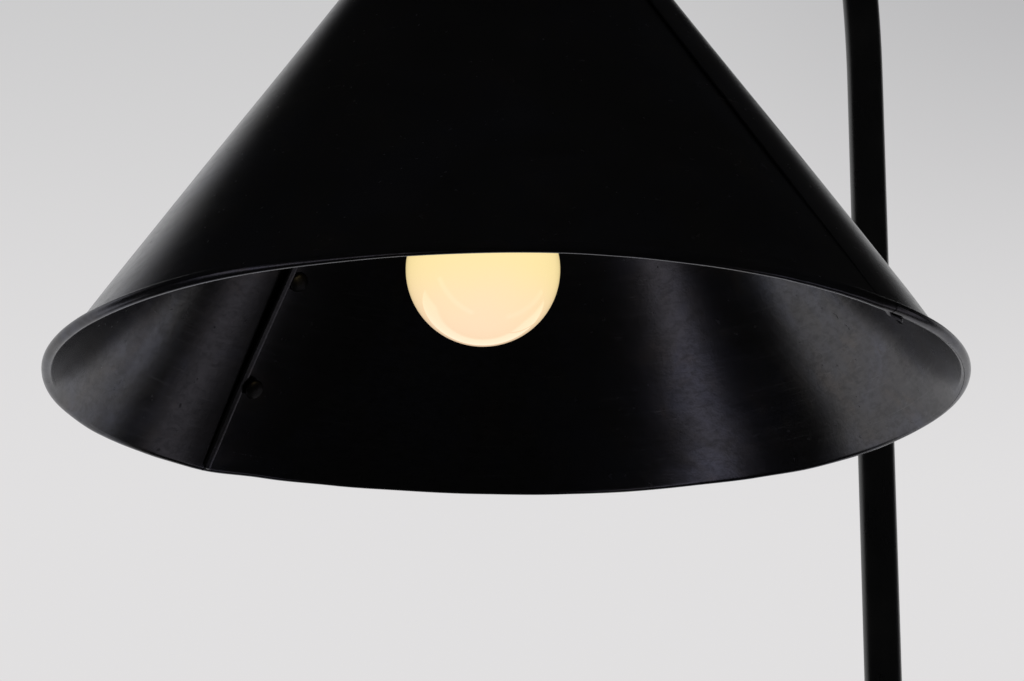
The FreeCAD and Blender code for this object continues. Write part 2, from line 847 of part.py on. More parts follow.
def shade_place(shape):
    return App.Placement(App.Vector(float(shade_x), 0, float(rim)), App.Rotation())


def build_shade():
    front, rear = dim("front_hem").value, dim("rear_hem").value
    shaped("front_sheet", sheet_solid(front, rear), shade_place(None))
    shaped("rear_sheet", sheet_solid(rear + 360, front), shade_place(None))
    shaped("front_rivets", rivets(front), shade_place(None))
    shaped("rear_rivets", rivets(rear), shade_place(None))
    wire = doc.addObject("Part::Torus", "rim_wire")
    bind(wire, "Radius1", dim("bead_radius"))
    bind(wire, "Radius2", dim("wire_radius") - 0.04)
    place(wire, shade_x, 0.0, rim + dim("wire_radius") + dim("sheet_thick"))

    # Ball stud: the ball, its neck, a shoulder on the cap and the thread under it
    neck = turned(
        "stud_blank",
        [
            (0, -75),
            (thread, -75),
            (thread, -49),
            (9.0, -49),
            (9.0, -47),
            (8.0, -46),
            (thread, -46),
            (thread, -5),
            (0, -5),
        ],
        shade_x,
        0.0,
        ball_z,
    )
    top = cylinder("stud_top", 14.0, 8.0, shade_x, 0.0, ball_z + 8.3)
    bore = cylinder("stud_bore", lead + 0.6, 95, shade_x, 0.0, ball_z - 80)
    funnel = place(cone("stud_funnel", lead + 0.6, 7.8, 8.5), shade_x, 0.0, ball_z)
    blank = fuse("stud_solid", ball("stud_ball", dim("ball_radius"), shade_x, ball_z), neck)
    cut("ball_stud", blank, top, bore, funnel)

    # Cap over the cut-off cone, the cone-shaped washer inside it and the long nut that clamps both
    cap, skirt = dim("cap_height").value, 272.0
    cap_thick, stand_off = 1.5, 0.35
    outer = -(stand_off + cap_thick)
    turned(
        "shade_cap",
        [
            (thread + SLIDE, cap - cap_thick),
            (cone_point(cap - cap_thick, -stand_off).x, cap - cap_thick),
            (cone_point(skirt, -stand_off).x, skirt),
            (cone_point(skirt, outer).x, skirt),
            (cone_point(cap, outer).x, cap),
            (thread + SLIDE, cap),
        ],
        shade_x,
        0.0,
        rim,
    )
    disc, foot, inset, clamp_thick = 282.0, 266.0, 2.2, 1.5
    turned(
        "clamp_washer",
        [
            (thread + SLIDE, disc - 2),
            (thread + SLIDE, disc),
            (cone_point(disc, inset).x, disc),
            (cone_point(foot, inset).x, foot),
            (cone_point(foot, inset + clamp_thick).x, foot),
            (cone_point(disc - 2, inset + clamp_thick).x, disc - 2),
        ],
        shade_x,
        0.0,
        rim,
    )
    hexagon("hub_nut", 17.0, 24.0, shade_x, rim + 256, thread + SLIDE)
    build_holder()


# ---- drop pipe, lampholder and bulb ---------------------------------------------------------------


def holder_place():
    """Placement of the leaning lampholder: origin at the end of the pipe's bend, Z along the lamp axis."""
    angle, heading = dim("bend_angle").value, dim("bend_heading").value
    bend = dim("bend_length").value / math.radians(angle)
    aside = bend * (1 - math.cos(math.radians(angle)))
    drop = bend * math.sin(math.radians(angle))
    direction = on_circle(1.0, math.radians(heading))
    base = App.Vector(float(shade_x), 0, rim.value + dim("bend_start").value - drop)
    lean_axis = App.Vector(0, 0, 1).cross(direction)
    return App.Placement(base + direction * aside, App.Rotation(lean_axis * -1, angle))


def thread_profile(root, depth, low, pitch, turns):
    """Corners of a rolled screw shell's wavy outside, from bottom to top."""
    corners = []
    for i in range(turns):
        z = low + i * pitch
        corners += [(root, z), (root + depth, z + 0.35 * pitch), (root + depth, z + 0.65 * pitch)]
    return [*corners, (root, low + turns * pitch)]


def build_holder():
    lean = holder_place()
    path_top = rim.value + 269.8
    start = rim.value + dim("bend_start").value
    heading = App.Rotation(App.Vector(0, 0, 1), dim("bend_heading").value)
    bend = dim("bend_length").value / dim("bend_angle").value * 180 / math.pi

    def leaning(radius, bore, high, tail):
        """A tube that comes straight down, leans over along the bend, and ends straight."""
        half = math.radians(dim("bend_angle").value) / 2
        inner = []
        for turned_by in (half, 2 * half):
            aside, down = 1 - math.cos(turned_by), math.sin(turned_by)
            inner.append(App.Vector(bend * aside, 0, -bend * down))
        axis = App.Vector(float(shade_x), 0, start)
        first, middle, last = (axis + heading.multVec(v) for v in (App.Vector(), *inner))
        end = lean.multVec(App.Vector(0, 0, -tail))
        top = App.Vector(axis.x, 0, high)
        path = Part.Wire(
            [
                Part.LineSegment(top, first).toShape(),
                Part.Arc(first, middle, last).toShape(),
                Part.LineSegment(last, end).toShape(),
            ]
        )
        down = App.Vector(0, 0, -1)
        shapes = [
            path.makePipeShell([Part.Wire([Part.Circle(top, down, size).toShape()])], True, False)
            for size in (radius, bore)
            if size
        ]
        return shapes[0].cut(shapes[1]) if bore else shapes[0]

    shaped("drop_pipe", leaning(thread.value, lead.value + 0.6, path_top, 25.0))
    shaped("shade_lead", leaning(lead.value, 0.0, ball_z.value - 1.2, 22.0))

    def own(item):
        item.Placement = lean
        return item

    def holder_piece(label, profile):
        return own(turned(label, profile))

    shell, wall = dim("shell_radius"), 1.0
    own(shaped("pipe_nut", hex_shape(14.0, 4.0, thread.value + SLIDE, -13.9)))
    holder_piece(
        "holder_cap",
        [
            (thread + SLIDE, -14),
            (9.0, -14),
            (13.5, -16),
            (shell - 2.5, -24),
            (shell - 1.1, -34),
            (shell - 2.3, -34),
            (shell - 3.7, -25),
            (12.5, -18),
            (9.0, -17),
            (9.0, -26),
            (thread + SLIDE, -26),
        ],
    )
    shell_blank = holder_piece(
        "shell_blank",
        [
            (shell - 1, -32),
            (shell, -32),
            (shell, -80),
            (shell + 1, -81),
            (shell + 1, -82),
            (shell - 1, -82),
        ],
    )
    key_z = -44.0
    key_hole = Part.makeCylinder(3.2, 12, App.Vector(shell.value - 6, 0, key_z), App.Vector(1, 0, 0))
    cut("holder_shell", shell_blank, own(shaped("shell_key_hole", key_hole)))
    liner_blank = holder_piece(
        "liner_blank",
        [(shell - 2.2, -35), (shell - 1.2, -35), (shell - 1.2, -81), (shell - 2.2, -81)],
    )
    liner_hole = Part.makeCylinder(3.2, 12, App.Vector(shell.value - 8, 0, key_z), App.Vector(1, 0, 0))
    cut("holder_liner", liner_blank, own(shaped("liner_key_hole", liner_hole)))
    body = Part.makeCylinder(16.5, 16, App.Vector(0, 0, -53))
    for side in (-1, 1):
        body = body.cut(Part.makeCylinder(2.1, 9, App.Vector(0, side * 11, -45)))
    body = body.cut(Part.makeCylinder(2.2, 20, App.Vector(2, 0, key_z), App.Vector(1, 0, 0)))
    body = body.cut(Part.makeCylinder(3.0, 5, App.Vector(0, 0, -53.1)))
    own(shaped("socket_body", body))
    outside = thread_profile(13.7, 0.9, -79.0, 3.63, 6)
    inside = [(r - 0.4, z) for r, z in outside]
    holder_piece(
        "screw_shell",
        [*outside, (13.7, -53.1), (4.0, -53.1), (4.0, -53.5), (13.3, -53.5), *reversed(inside)],
    )
    contact = Part.makeCone(2.0, 2.9, 0.8, App.Vector(0, 0, -51.2)).fuse(
        Part.makeCylinder(1.2, 2.3, App.Vector(0, 0, -50.4))
    )
    own(shaped("centre_contact", contact))
    screws = []
    for side in (-1, 1):
        screw = Part.makeCylinder(2.0, 7, App.Vector(0, side * 11, -43.5)).fuse(
            Part.makeCylinder(3.2, 2.0, App.Vector(0, side * 11, -36.5))
        )
        screws.append(screw.cut(Part.makeBox(7, 0.8, 1.2, App.Vector(-3.5, side * 11 - 0.4, -35.2))))
    own(shaped("terminal_screws", group(screws)))
    cores = []
    for side in (-1, 1):
        route = [
            App.Vector(0, side * 1.4, -22.6),
            App.Vector(0, side * 1.4, -29.5),
            App.Vector(0, side * 6.5, -31.6),
            App.Vector(0, side * 10.5, -33.3),
        ]
        cores.append(tube_along(route, 1.1, 0.0))
    own(shaped("holder_cores", group(cores)))

    knob_start = shell.value + 1.5
    spindle = Part.makeCylinder(2.0, 24, App.Vector(4, 0, key_z), App.Vector(1, 0, 0))
    own(shaped("switch_spindle", spindle))
    knob = Part.makeCylinder(7.0, 11, App.Vector(knob_start, 0, key_z), App.Vector(1, 0, 0))
    knob = knob.makeFillet(1.5, [edge for edge in knob.Edges if edge.Vertexes[0].X > knob_start + 10])
    socket_start = App.Vector(knob_start - 0.1, 0, key_z)
    knob = knob.cut(Part.makeCylinder(2.05, 6.5, socket_start, App.Vector(1, 0, 0)))
    for i in range(12):
        angle = math.radians(30 * i)
        flute = App.Vector(knob_start + 2, 7.6 * math.cos(angle), key_z + 7.6 * math.sin(angle))
        knob = knob.cut(Part.makeCylinder(1.1, 12, flute, App.Vector(1, 0, 0)))
    own(shaped("switch_knob", knob))

    # Bulb: opal globe, screw base, glass insulator, tip contact and the filament on its stem
    middle = -dim("bulb_drop").value
    base_low, base_high = -77.4, -55.6
    outside = thread_profile(12.0, 0.9, -77.0, 3.63, 5)
    inside = [(r - 0.35, z) for r, z in outside]
    crimp = [(12.0, base_high), (9.0, -54.2), (8.65, -54.5), (11.65, base_high - 0.4)]
    holder_piece("bulb_base", [*outside, *crimp, *reversed(inside)])
    insulator = [(2.6, -53.9), (8.5, -54.0), (8.5, -54.6), (5.5, -58.0), (2.6, -58.0)]
    holder_piece("bulb_insulator", insulator)
    contact = [(0, -51.2), (2.2, -51.6), (2.5, -53.0), (2.5, -56.5), (0, -56.5)]
    holder_piece("bulb_contact", contact)
    glass = globe(dim("bulb_radius").value, middle, base_low).cut(
        globe(dim("bulb_radius").value - 0.8, middle, base_low)
    )
    own(shaped("bulb_glass", glass))
    stem = Part.makeCylinder(3.5, 34, App.Vector(0, 0, middle + 24)).fuse(
        Part.makeCone(3.5, 10.6, 12, App.Vector(0, 0, middle + 46))
    )
    loop = Part.makeTorus(13, 0.9, App.Vector(0, 0, middle + 2))
    stem = stem.fuse(Part.makeCylinder(1.2, 24, App.Vector(0, 0, middle + 0.5)))
    for i in range(3):
        arm = on_circle(1.0, math.radians(120 * i))
        stem = stem.fuse(Part.makeCylinder(0.6, 13, App.Vector(0, 0, middle + 2), arm))
    own(shaped("bulb_filament", stem.fuse(loop)))


def globe(radius, middle, low):
    """Solid globe with a neck that reaches up into the screw base."""
    skin = dim("bulb_radius").value - radius
    neck = Part.makeCone(22.0 - skin, 11.4 - skin, 18.0, App.Vector(0, 0, middle + 33.5))
    tip = Part.makeCylinder(11.4 - skin, 12.0 - skin, App.Vector(0, 0, middle + 51.5))
    return Part.makeSphere(radius, App.Vector(0, 0, middle)).fuse([neck, tip]).removeSplitter()


def hex_shape(across_flats, height, hole, z):
    corners = [on_circle(across_flats / math.sqrt(3), math.radians(60 * i), z) for i in range(7)]
    solid = Part.Face(Part.makePolygon(corners)).extrude(App.Vector(0, 0, height))
    return solid.cut(Part.makeCylinder(hole, height + 2, App.Vector(0, 0, z - 1)))


# ---- build, check and write -----------------------------------------------------------------------

NODES = """
felt_pad base_plate base_cover cover_screws stem_collar collar_screws swivel_bush thrust_washer stop_pin
cord_inlet_bush terminal_block terminal_contacts base_cores
stem_foot friction_washer stop_washer wave_spring spindle_nut lower_tube joint_spigot spigot_screws
arc_tube end_plug swivel_bolt stem_lead
swivel_washer ball_cup cup_stop_pin cup_washer seat_spring ball_seat cup_ring
ball_stud shade_cap clamp_washer hub_nut front_sheet rear_sheet rim_wire front_rivets rear_rivets
drop_pipe shade_lead pipe_nut holder_cap holder_shell holder_liner socket_body screw_shell
centre_contact terminal_screws holder_cores
bulb_base bulb_insulator bulb_contact bulb_glass bulb_filament switch_spindle switch_knob
""".split()


def check_and_write():
    doc.recompute()
    failed = [item.Label for item in doc.Objects if {"Invalid", "Error"} & set(item.State)]
    if failed:
        raise SystemExit(f"failed objects: {failed}")
    os.makedirs("parts", exist_ok=True)
    for label in NODES:
        (item,) = doc.getObjectsByLabel(label)
        shape = item.Shape
        if shape.isNull() or not shape.isValid() or not shape.Solids:
            raise SystemExit(f"{label} has no valid solid")
        shape.exportStep(f"parts/{label}.step")
    print(f"wrote {len(NODES)} nodes")


build_base()
build_stem()
build_cup()
build_shade()
check_and_write()
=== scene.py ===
import json
import math

import bmesh
import bpy
from mathutils import Matrix, Vector, noise


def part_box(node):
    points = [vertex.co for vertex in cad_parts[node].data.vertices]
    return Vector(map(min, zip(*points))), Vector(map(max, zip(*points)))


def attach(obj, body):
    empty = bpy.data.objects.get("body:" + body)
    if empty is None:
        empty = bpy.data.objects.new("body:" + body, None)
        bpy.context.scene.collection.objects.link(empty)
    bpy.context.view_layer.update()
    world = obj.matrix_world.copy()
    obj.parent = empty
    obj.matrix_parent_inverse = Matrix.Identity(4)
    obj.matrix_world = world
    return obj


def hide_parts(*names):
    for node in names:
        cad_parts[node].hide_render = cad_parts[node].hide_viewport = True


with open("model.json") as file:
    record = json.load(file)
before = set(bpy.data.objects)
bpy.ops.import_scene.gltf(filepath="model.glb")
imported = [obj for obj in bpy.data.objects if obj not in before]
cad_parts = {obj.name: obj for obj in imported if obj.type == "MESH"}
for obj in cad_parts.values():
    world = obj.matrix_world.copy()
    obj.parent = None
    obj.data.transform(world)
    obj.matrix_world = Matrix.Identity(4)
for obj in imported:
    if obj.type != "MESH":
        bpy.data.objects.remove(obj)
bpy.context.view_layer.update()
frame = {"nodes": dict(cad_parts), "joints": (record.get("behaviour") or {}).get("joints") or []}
nodes = frame["nodes"]
mm = 0.001

shadeAxis = (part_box("rim_wire")[0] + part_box("rim_wire")[1]) / 2
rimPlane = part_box("front_sheet")[0].z
shadeOrigin = Vector((shadeAxis.x, 0, rimPlane))
stemAxis = (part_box("lower_tube")[0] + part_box("lower_tube")[1]) / 2
floorOrigin = Vector((0, 0, 0))
stemOrigin = Vector((stemAxis.x, 0, 0))


def linked(name, data):
    # A new object in the scene
    item = bpy.data.objects.new(name, data)
    bpy.context.scene.collection.objects.link(item)
    return item


def compass(degrees):
    # Level direction, counted from +X towards +Y
    angle = math.radians(degrees)
    return Vector((math.cos(angle), math.sin(angle), 0))


# camera, low down and looking up into the shade

cameraSet = {
    "lens": 120.0,
    "azimuth": 23.05,  # from +X towards +Y, degrees
    "distance": 1.6888,  # from the shade's axis
    "below": 0.4584,  # under the rim plane
    "pitch": 15.96,
    "aside": 0.103,  # turned to its own right, degrees
}
towards = compass(cameraSet["azimuth"])
away = -towards
rightward = Vector((away.y, -away.x, 0))


def makeCamera():
    data = bpy.data.cameras.new("camera")
    data.lens = cameraSet["lens"]
    data.sensor_width = 36
    data.clip_end = 200
    camera = linked("camera", data)
    camera.location = shadeOrigin + towards * cameraSet["distance"] - Vector((0, 0, cameraSet["below"]))
    turn = math.radians(cameraSet["aside"])
    level = away * math.cos(turn) + rightward * math.sin(turn)
    pitch = math.radians(cameraSet["pitch"])
    look = level * math.cos(pitch) + Vector((0, 0, math.sin(pitch)))
    camera.rotation_euler = look.to_track_quat("-Z", "Y").to_euler()
    bpy.context.scene.camera = camera


makeCamera()
print("camera placed")


# shader building

class Value:
    # A number socket that takes part in Python arithmetic

    def __init__(self, graph, socket):
        self.graph = graph
        self.socket = socket

    def math(self, operation, other=None, swap=False):
        pair = [self] if other is None else [other, self] if swap else [self, other]
        made = self.graph.node("ShaderNodeMath", {"operation": operation}, dict(enumerate(pair)))
        return Value(self.graph, made.outputs[0])


for word, operation in {"add": "ADD", "sub": "SUBTRACT", "mul": "MULTIPLY", "truediv": "DIVIDE"}.items():
    setattr(Value, f"__{word}__", lambda self, other, kind=operation: self.math(kind, other))
    setattr(Value, f"__r{word}__", lambda self, other, kind=operation: self.math(kind, other, swap=True))


class Graph:
    # Any node tree

    def __init__(self, tree):
        self.tree = tree

    def node(self, kind, settings=None, inputs=None):
        made = self.tree.nodes.new(kind)
        for name, value in (settings or {}).items():
            if name == "stops":
                while len(made.color_ramp.elements) < len(value):
                    made.color_ramp.elements.new(1)
                for stop, (place, colour) in zip(made.color_ramp.elements, value):
                    stop.position = place
                    stop.color = (*colour, 1) if isinstance(colour, tuple) else (colour, colour, colour, 1)
            else:
                setattr(made, name, value)
        for name, value in (inputs or {}).items():
            socket = made.inputs[name]
            if isinstance(value, Value):
                self.tree.links.new(value.socket, socket)
            elif isinstance(value, bpy.types.NodeSocket):
                self.tree.links.new(value, socket)
            elif isinstance(value, tuple) and len(value) == 3 and socket.type == "RGBA":
                socket.default_value = (*value, 1)
            else:
                socket.default_value = value
        return made

    def value(self, socket):
        return Value(self, socket)

    def first(self, kind, settings=None, inputs=None):
        # A new node's first output
        return self.node(kind, settings, inputs).outputs[0]

    def dot(self, vector, axis):
        made = self.node("ShaderNodeVectorMath", {"operation": "DOT_PRODUCT"}, {0: vector, 1: tuple(axis)})
        return self.value(made.outputs["Value"])

    def parts(self, vector):
        split = self.node("ShaderNodeSeparateXYZ", None, {0: vector})
        return [self.value(split.outputs[i]) for i in range(3)]

    def join(self, x, y, z):
        return self.first("ShaderNodeCombineXYZ", None, {0: x, 1: y, 2: z})


class Finish(Graph):
    # The tree of a material or of the world

    def __init__(self, owner):
        owner.use_nodes = True
        self.owner = owner
        super().__init__(owner.node_tree)
        self.tree.nodes.clear()

    def place(self, centre=(0, 0, 0)):
        # Object coordinates in metres, counted from a centre
        coords = self.node("ShaderNodeTexCoord").outputs["Object"]
        return self.first("ShaderNodeVectorMath", {"operation": "SUBTRACT"}, {0: coords, 1: tuple(centre)})

    def noise(self, vector, scale, detail=3.0, rough=0.5, bend=0.0):
        inputs = {"Vector": vector, "Scale": scale, "Detail": detail, "Roughness": rough, "Distortion": bend}
        return self.value(self.node("ShaderNodeTexNoise", {"noise_dimensions": "3D"}, inputs).outputs["Fac"])

    def ramp(self, value, low, high):
        # 0 below low, 1 above high, smooth between
        inputs = {"Value": value, "From Min": low, "From Max": high}
        settings = {"interpolation_type": "SMOOTHSTEP"}
        return self.value(self.node("ShaderNodeMapRange", settings, inputs).outputs["Result"])

    def mix(self, share, first, second):
        made = self.node("ShaderNodeMix", {"data_type": "RGBA"}, {"Factor": share, 6: first, 7: second})
        return made.outputs[2]

    def bump(self, height, distance, strength=1.0, after=None):
        inputs = {"Height": height, "Distance": distance, "Strength": strength}
        if after is not None:
            inputs["Normal"] = after
        return self.first("ShaderNodeBump", None, inputs)

    def surface(self, **inputs):
        named = {label.replace("_", " "): value for label, value in inputs.items()}
        shader = self.first("ShaderNodeBsdfPrincipled", None, named)
        self.node("ShaderNodeOutputMaterial", None, {"Surface": shader})
        return self.owner


def newFinish(name):
    return Finish(bpy.data.materials.new(name))


# finishes

blackenedSet = {
    "deep": (0.088, 0.085, 0.088),
    "blue": (0.100, 0.102, 0.125),
    "brown": (0.125, 0.108, 0.098),
    "edge": (0.8, 0.8, 0.81),  # how bright it turns when seen nearly edge on
    "roughness": 0.20,
    "waviness": 0.0002,  # metres
    "stained": (0.050, 0.049, 0.051),
    "speckled": (0.03, 0.03, 0.032),
    "scratched": (0.22, 0.22, 0.23),
}


def blackenedSteel(name, centre, streaks=1.0):
    f = newFinish(name)
    p = f.place(centre)
    x, y, z = f.parts(p)
    radius = (x * x + y * y).math("SQRT") + 0.001
    downhill = f.join(x / radius, y / radius, z * 3.0)  # varies round the axis, hardly along the slope
    level = f.join(x * 5.0, y * 5.0, z * 260.0)  # varies up the slope, hardly round the axis
    cloud = f.noise(p, 11.0, 5.0, 0.6, 0.8)
    blotch = f.noise(p, 38.0, 6.0, 0.62, 0.4)
    mottle = f.noise(f.join(x, y, z * 2.2), 150.0, 5.0, 0.68, 0.6)
    grain = f.noise(p, 900.0, 2.0)
    run = f.noise(downhill, 16.0, 4.0, 0.6)
    rub = f.noise(level, 1.0, 4.0, 0.7)
    speck = f.ramp(f.noise(p, 210.0, 2.0, 0.5), 0.70, 0.76)
    scored = f.join(x * 90.0 + z * 120.0, y * 90.0 - z * 60.0, z * 1900.0 - x * 700.0)
    scratch = f.ramp(f.noise(scored, 1.0, 1.0), 0.70, 0.76)
    polished = f.join(x * 18.0, y * 18.0, z * 1500.0)
    hair = f.ramp(f.noise(polished, 1.0, 2.0, 0.6), 0.60, 0.72)  # rings left by polishing
    s = blackenedSet
    colour = f.mix(f.ramp(cloud, 0.42, 0.66), s["deep"], s["blue"])
    colour = f.mix(f.ramp(blotch, 0.5, 0.75) * 0.55, colour, s["brown"])
    colour = f.mix(f.ramp(run, 0.35, 0.75) * 0.35 * streaks, colour, s["deep"])
    colour = f.mix(f.ramp(mottle, 0.42, 0.66) * 0.46, colour, s["stained"])
    colour = f.mix(speck * 0.35, colour, s["speckled"])
    colour = f.mix(scratch * 0.18 + hair * 0.16 * streaks, colour, s["scratched"])
    rough = s["roughness"] + (blotch - 0.5) * 0.10 + (rub - 0.5) * 0.08 * streaks + (grain - 0.5) * 0.05
    rough = rough + (mottle - 0.5) * 0.12
    rough = rough + speck * 0.12 + hair * 0.05 * streaks
    wave = f.bump(cloud, s["waviness"])
    tooth = f.bump(rub * 0.6 * streaks + grain + blotch * 0.8 - scratch * 0.5, 0.00002, 1.0, wave)
    return f.surface(
        Base_Color=colour,
        Metallic=1.0,
        Roughness=rough,
        Normal=tooth,
        Specular_Tint=(*s["edge"], 1),
    )


def rivetSteel(name, centre):
    f = newFinish(name)
    p = f.place(centre)
    worn = f.noise(p, 260.0, 4.0, 0.6)
    grain = f.noise(p, 1500.0, 2.0)
    colour = f.mix(f.ramp(worn, 0.4, 0.7), (0.042, 0.041, 0.042), (0.075, 0.072, 0.072))
    normal = f.bump(grain + worn * 2.0, 0.00003)
    return f.surface(Base_Color=colour, Metallic=1.0, Roughness=0.44 + (worn - 0.5) * 0.3, Normal=normal)


tubeSet = {"colour": (0.0012, 0.0012, 0.0013), "worn": (0.003, 0.0028, 0.0026), "roughness": 0.3}


def satinBlack(name, centre):
    # Thin satin enamel over drawn tube
    f = newFinish(name)
    p = f.place(centre)
    x, y, z = f.parts(p)
    peel = f.noise(p, 520.0, 2.0, 0.5)
    drawn = f.noise(f.join(x * 900.0, y * 900.0, z * 9.0), 1.0, 2.0)
    handled = f.noise(p, 22.0, 5.0, 0.62, 0.5)
    dust = f.ramp(f.noise(p, 1400.0, 1.0), 0.72, 0.8)
    colour = f.mix(f.ramp(handled, 0.45, 0.75), tubeSet["colour"], tubeSet["worn"])
    colour = f.mix(dust * 0.08, colour, (0.05, 0.05, 0.05))
    rough = tubeSet["roughness"] + (handled - 0.5) * 0.22 + (drawn - 0.5) * 0.05 + dust * 0.1
    normal = f.bump(peel * 1.2 + drawn * 0.35, 0.00003)
    return f.surface(Base_Color=colour, Roughness=rough, Normal=normal, Specular_IOR_Level=0.5)


def texturedCoat(name, centre):
    # Fine-textured powder coat
    f = newFinish(name)
    p = f.place(centre)
    texture = f.noise(p, 1150.0, 3.0, 0.55)
    broad = f.noise(p, 8.0, 4.0, 0.6)
    dust = f.ramp(f.noise(p, 700.0, 2.0, 0.6), 0.68, 0.8)
    colour = f.mix(f.ramp(broad, 0.35, 0.7), (0.011, 0.011, 0.0115), (0.019, 0.0188, 0.0185))
    colour = f.mix(dust * 0.3, colour, (0.06, 0.06, 0.06))
    normal = f.bump(texture, 0.00012)
    rough = 0.52 + (broad - 0.5) * 0.15 + (texture - 0.5) * 0.2
    return f.surface(Base_Color=colour, Roughness=rough, Normal=normal)


def denseFelt(name):
    f = newFinish(name)
    p = f.place()
    fibre = f.noise(p, 1800.0, 5.0, 0.75, 1.5)
    clump = f.noise(p, 160.0, 4.0, 0.7)
    colour = f.mix(fibre, (0.012, 0.012, 0.013), (0.07, 0.07, 0.074))
    colour = f.mix(f.ramp(clump, 0.4, 0.8) * 0.4, colour, (0.03, 0.029, 0.028))
    normal = f.bump(fibre + clump, 0.0004)
    return f.surface(Base_Color=colour, Roughness=0.95, Normal=normal, Sheen_Weight=0.3, Sheen_Roughness=0.5)


def platedSteel(name, low, high, base=0.32):
    # Bright plating: zinc, brass or aluminium by its two colours
    f = newFinish(name)
    p = f.place()
    x, y, z = f.parts(p)
    turned = f.noise(f.join(x * 30.0, y * 30.0, z * 2600.0), 1.0, 2.0)
    bloom = f.noise(p, 75.0, 5.0, 0.62, 0.4)
    stain = f.ramp(f.noise(p, 230.0, 3.0), 0.6, 0.72)
    colour = f.mix(f.ramp(bloom, 0.35, 0.7), low, high)
    colour = f.mix(stain * 0.35, colour, tuple(c * 0.45 for c in low))
    rough = base + (bloom - 0.5) * 0.25 + (turned - 0.5) * 0.12 + stain * 0.15
    normal = f.bump(turned + bloom * 0.5, 0.00002)
    return f.surface(Base_Color=colour, Metallic=1.0, Roughness=rough, Normal=normal)


def mouldedPlastic(name, low, high, roughness):
    f = newFinish(name)
    p = f.place()
    flow = f.noise(p, 60.0, 4.0, 0.6, 1.2)
    tooth = f.noise(p, 2200.0, 2.0)
    colour = f.mix(flow, low, high)
    normal = f.bump(tooth + flow, 0.00003)
    return f.surface(Base_Color=colour, Roughness=roughness + (flow - 0.5) * 0.15, Normal=normal)


bulbSet = {
    "pole": (1.0, 0.825, 0.66),
    "waist": (1.0, 0.895, 0.52),
    "collar": (1.0, 0.80, 0.37),
    "power": 1.02,
}


def opalGlass(name, centre, axis):
    # Lit opal glass: paler at the free end, warmer up towards the screw base
    f = newFinish(name)
    p = f.place(centre)
    height = f.dot(p, axis)
    cloud = f.noise(p, 30.0, 3.0, 0.5)
    glow = f.mix(f.ramp(height + (cloud - 0.5) * 0.01, -0.040, 0.0), bulbSet["pole"], bulbSet["waist"])
    glow = f.mix(f.ramp(height, 0.012, 0.055), glow, bulbSet["collar"])
    normal = f.bump(cloud, 0.0001)
    return f.surface(
        Base_Color=f.mix(cloud, (0.05, 0.045, 0.035), (0.07, 0.06, 0.05)),
        Roughness=0.03 + cloud * 0.04,
        Emission_Color=glow,
        Emission_Strength=bulbSet["power"],
        Normal=normal,
        Coat_Weight=0.6,
        Coat_Roughness=0.03,
        Coat_Tint=(1.0, 0.86, 0.66),
    )


def clearGlass(name):
    f = newFinish(name)
    p = f.place()
    swirl = f.noise(p, 150.0, 3.0, 0.6, 1.0)
    colour = f.mix(swirl, (0.02, 0.015, 0.03), (0.06, 0.05, 0.08))
    return f.surface(Base_Color=colour, Roughness=0.12 + swirl * 0.08, Normal=f.bump(swirl, 0.00003))


# mesh building

def finishPiece(piece, body, slot, *replaced, material=None, angle=35.0):
    # Gives a finished mesh its material, its smooth shading and its place in the frame
    mesh = piece.data
    mesh.materials.clear()
    mesh.materials.append(material or slotFinish[slot])
    mesh.shade_smooth()
    mesh.set_sharp_from_angle(angle=math.radians(angle))
    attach(piece, body)
    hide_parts(*replaced)


def newPiece(name, points, faces):
    mesh = bpy.data.meshes.new(name)
    mesh.from_pydata([tuple(p) for p in points], [], faces)
    mesh.update()
    return linked(name, mesh)


def faceOutwards(piece):
    shape = bmesh.new()
    shape.from_mesh(piece.data)
    bmesh.ops.remove_doubles(shape, verts=shape.verts, dist=1e-7)
    bmesh.ops.recalc_face_normals(shape, faces=shape.faces)
    shape.to_mesh(piece.data)
    shape.free()
    return piece


def rounded(corners, steps=5):
    # Closed outline from (radius, height) corners; a third number rounds that corner
    points = []
    count = len(corners)
    for i, corner in enumerate(corners):
        here = Vector(corner[:2])
        if len(corner) < 3 or corner[2] <= 0:
            points.append(here)
            continue
        before = Vector(corners[i - 1][:2]) - here
        after = Vector(corners[(i + 1) % count][:2]) - here
        half = before.angle(after) / 2
        trim = min(corner[2] / math.tan(half), 0.49 * before.length, 0.49 * after.length)
        radius = trim * math.tan(half)
        middle = here + (before.normalized() + after.normalized()).normalized() * (radius / math.sin(half))
        first = here + before.normalized() * trim - middle
        turn = first.angle_signed(here + after.normalized() * trim - middle)
        for k in range(steps + 1):
            points.append(middle + Matrix.Rotation(-turn * k / steps, 2) @ first)
    return points


def lathe(name, corners, place=Matrix(), segments=96, steps=5, reach=None):
    # Turns a closed outline in millimetres about a place's Z axis; reach changes the radius round the turn
    outline = rounded(corners, steps)
    points, faces = [], []
    for i in range(segments):
        angle = 2 * math.pi * i / segments
        for r, h in outline:
            wide = r if reach is None else reach(r, h, angle)
            points.append(place @ Vector((wide * math.cos(angle), wide * math.sin(angle), h)))
    count = len(outline)
    for i in range(segments):
        j = (i + 1) % segments
        for k in range(count):
            m = (k + 1) % count
            if outline[k].x == 0 and outline[m].x == 0:
                continue
            faces.append((i * count + k, j * count + k, j * count + m, i * count + m))
    return faceOutwards(newPiece(name, points, faces))


def placeAt(origin, direction=Vector((0, 0, 1)), side=Vector((1, 0, 0))):
    # Millimetres in, metres of the frame out
    z = direction.normalized()
    x = (side - z * side.dot(z)).normalized()
    turn = Matrix((x, z.cross(x), z)).transposed().to_4x4()
    return Matrix.Translation(origin) @ turn @ Matrix.Scale(mm, 4)


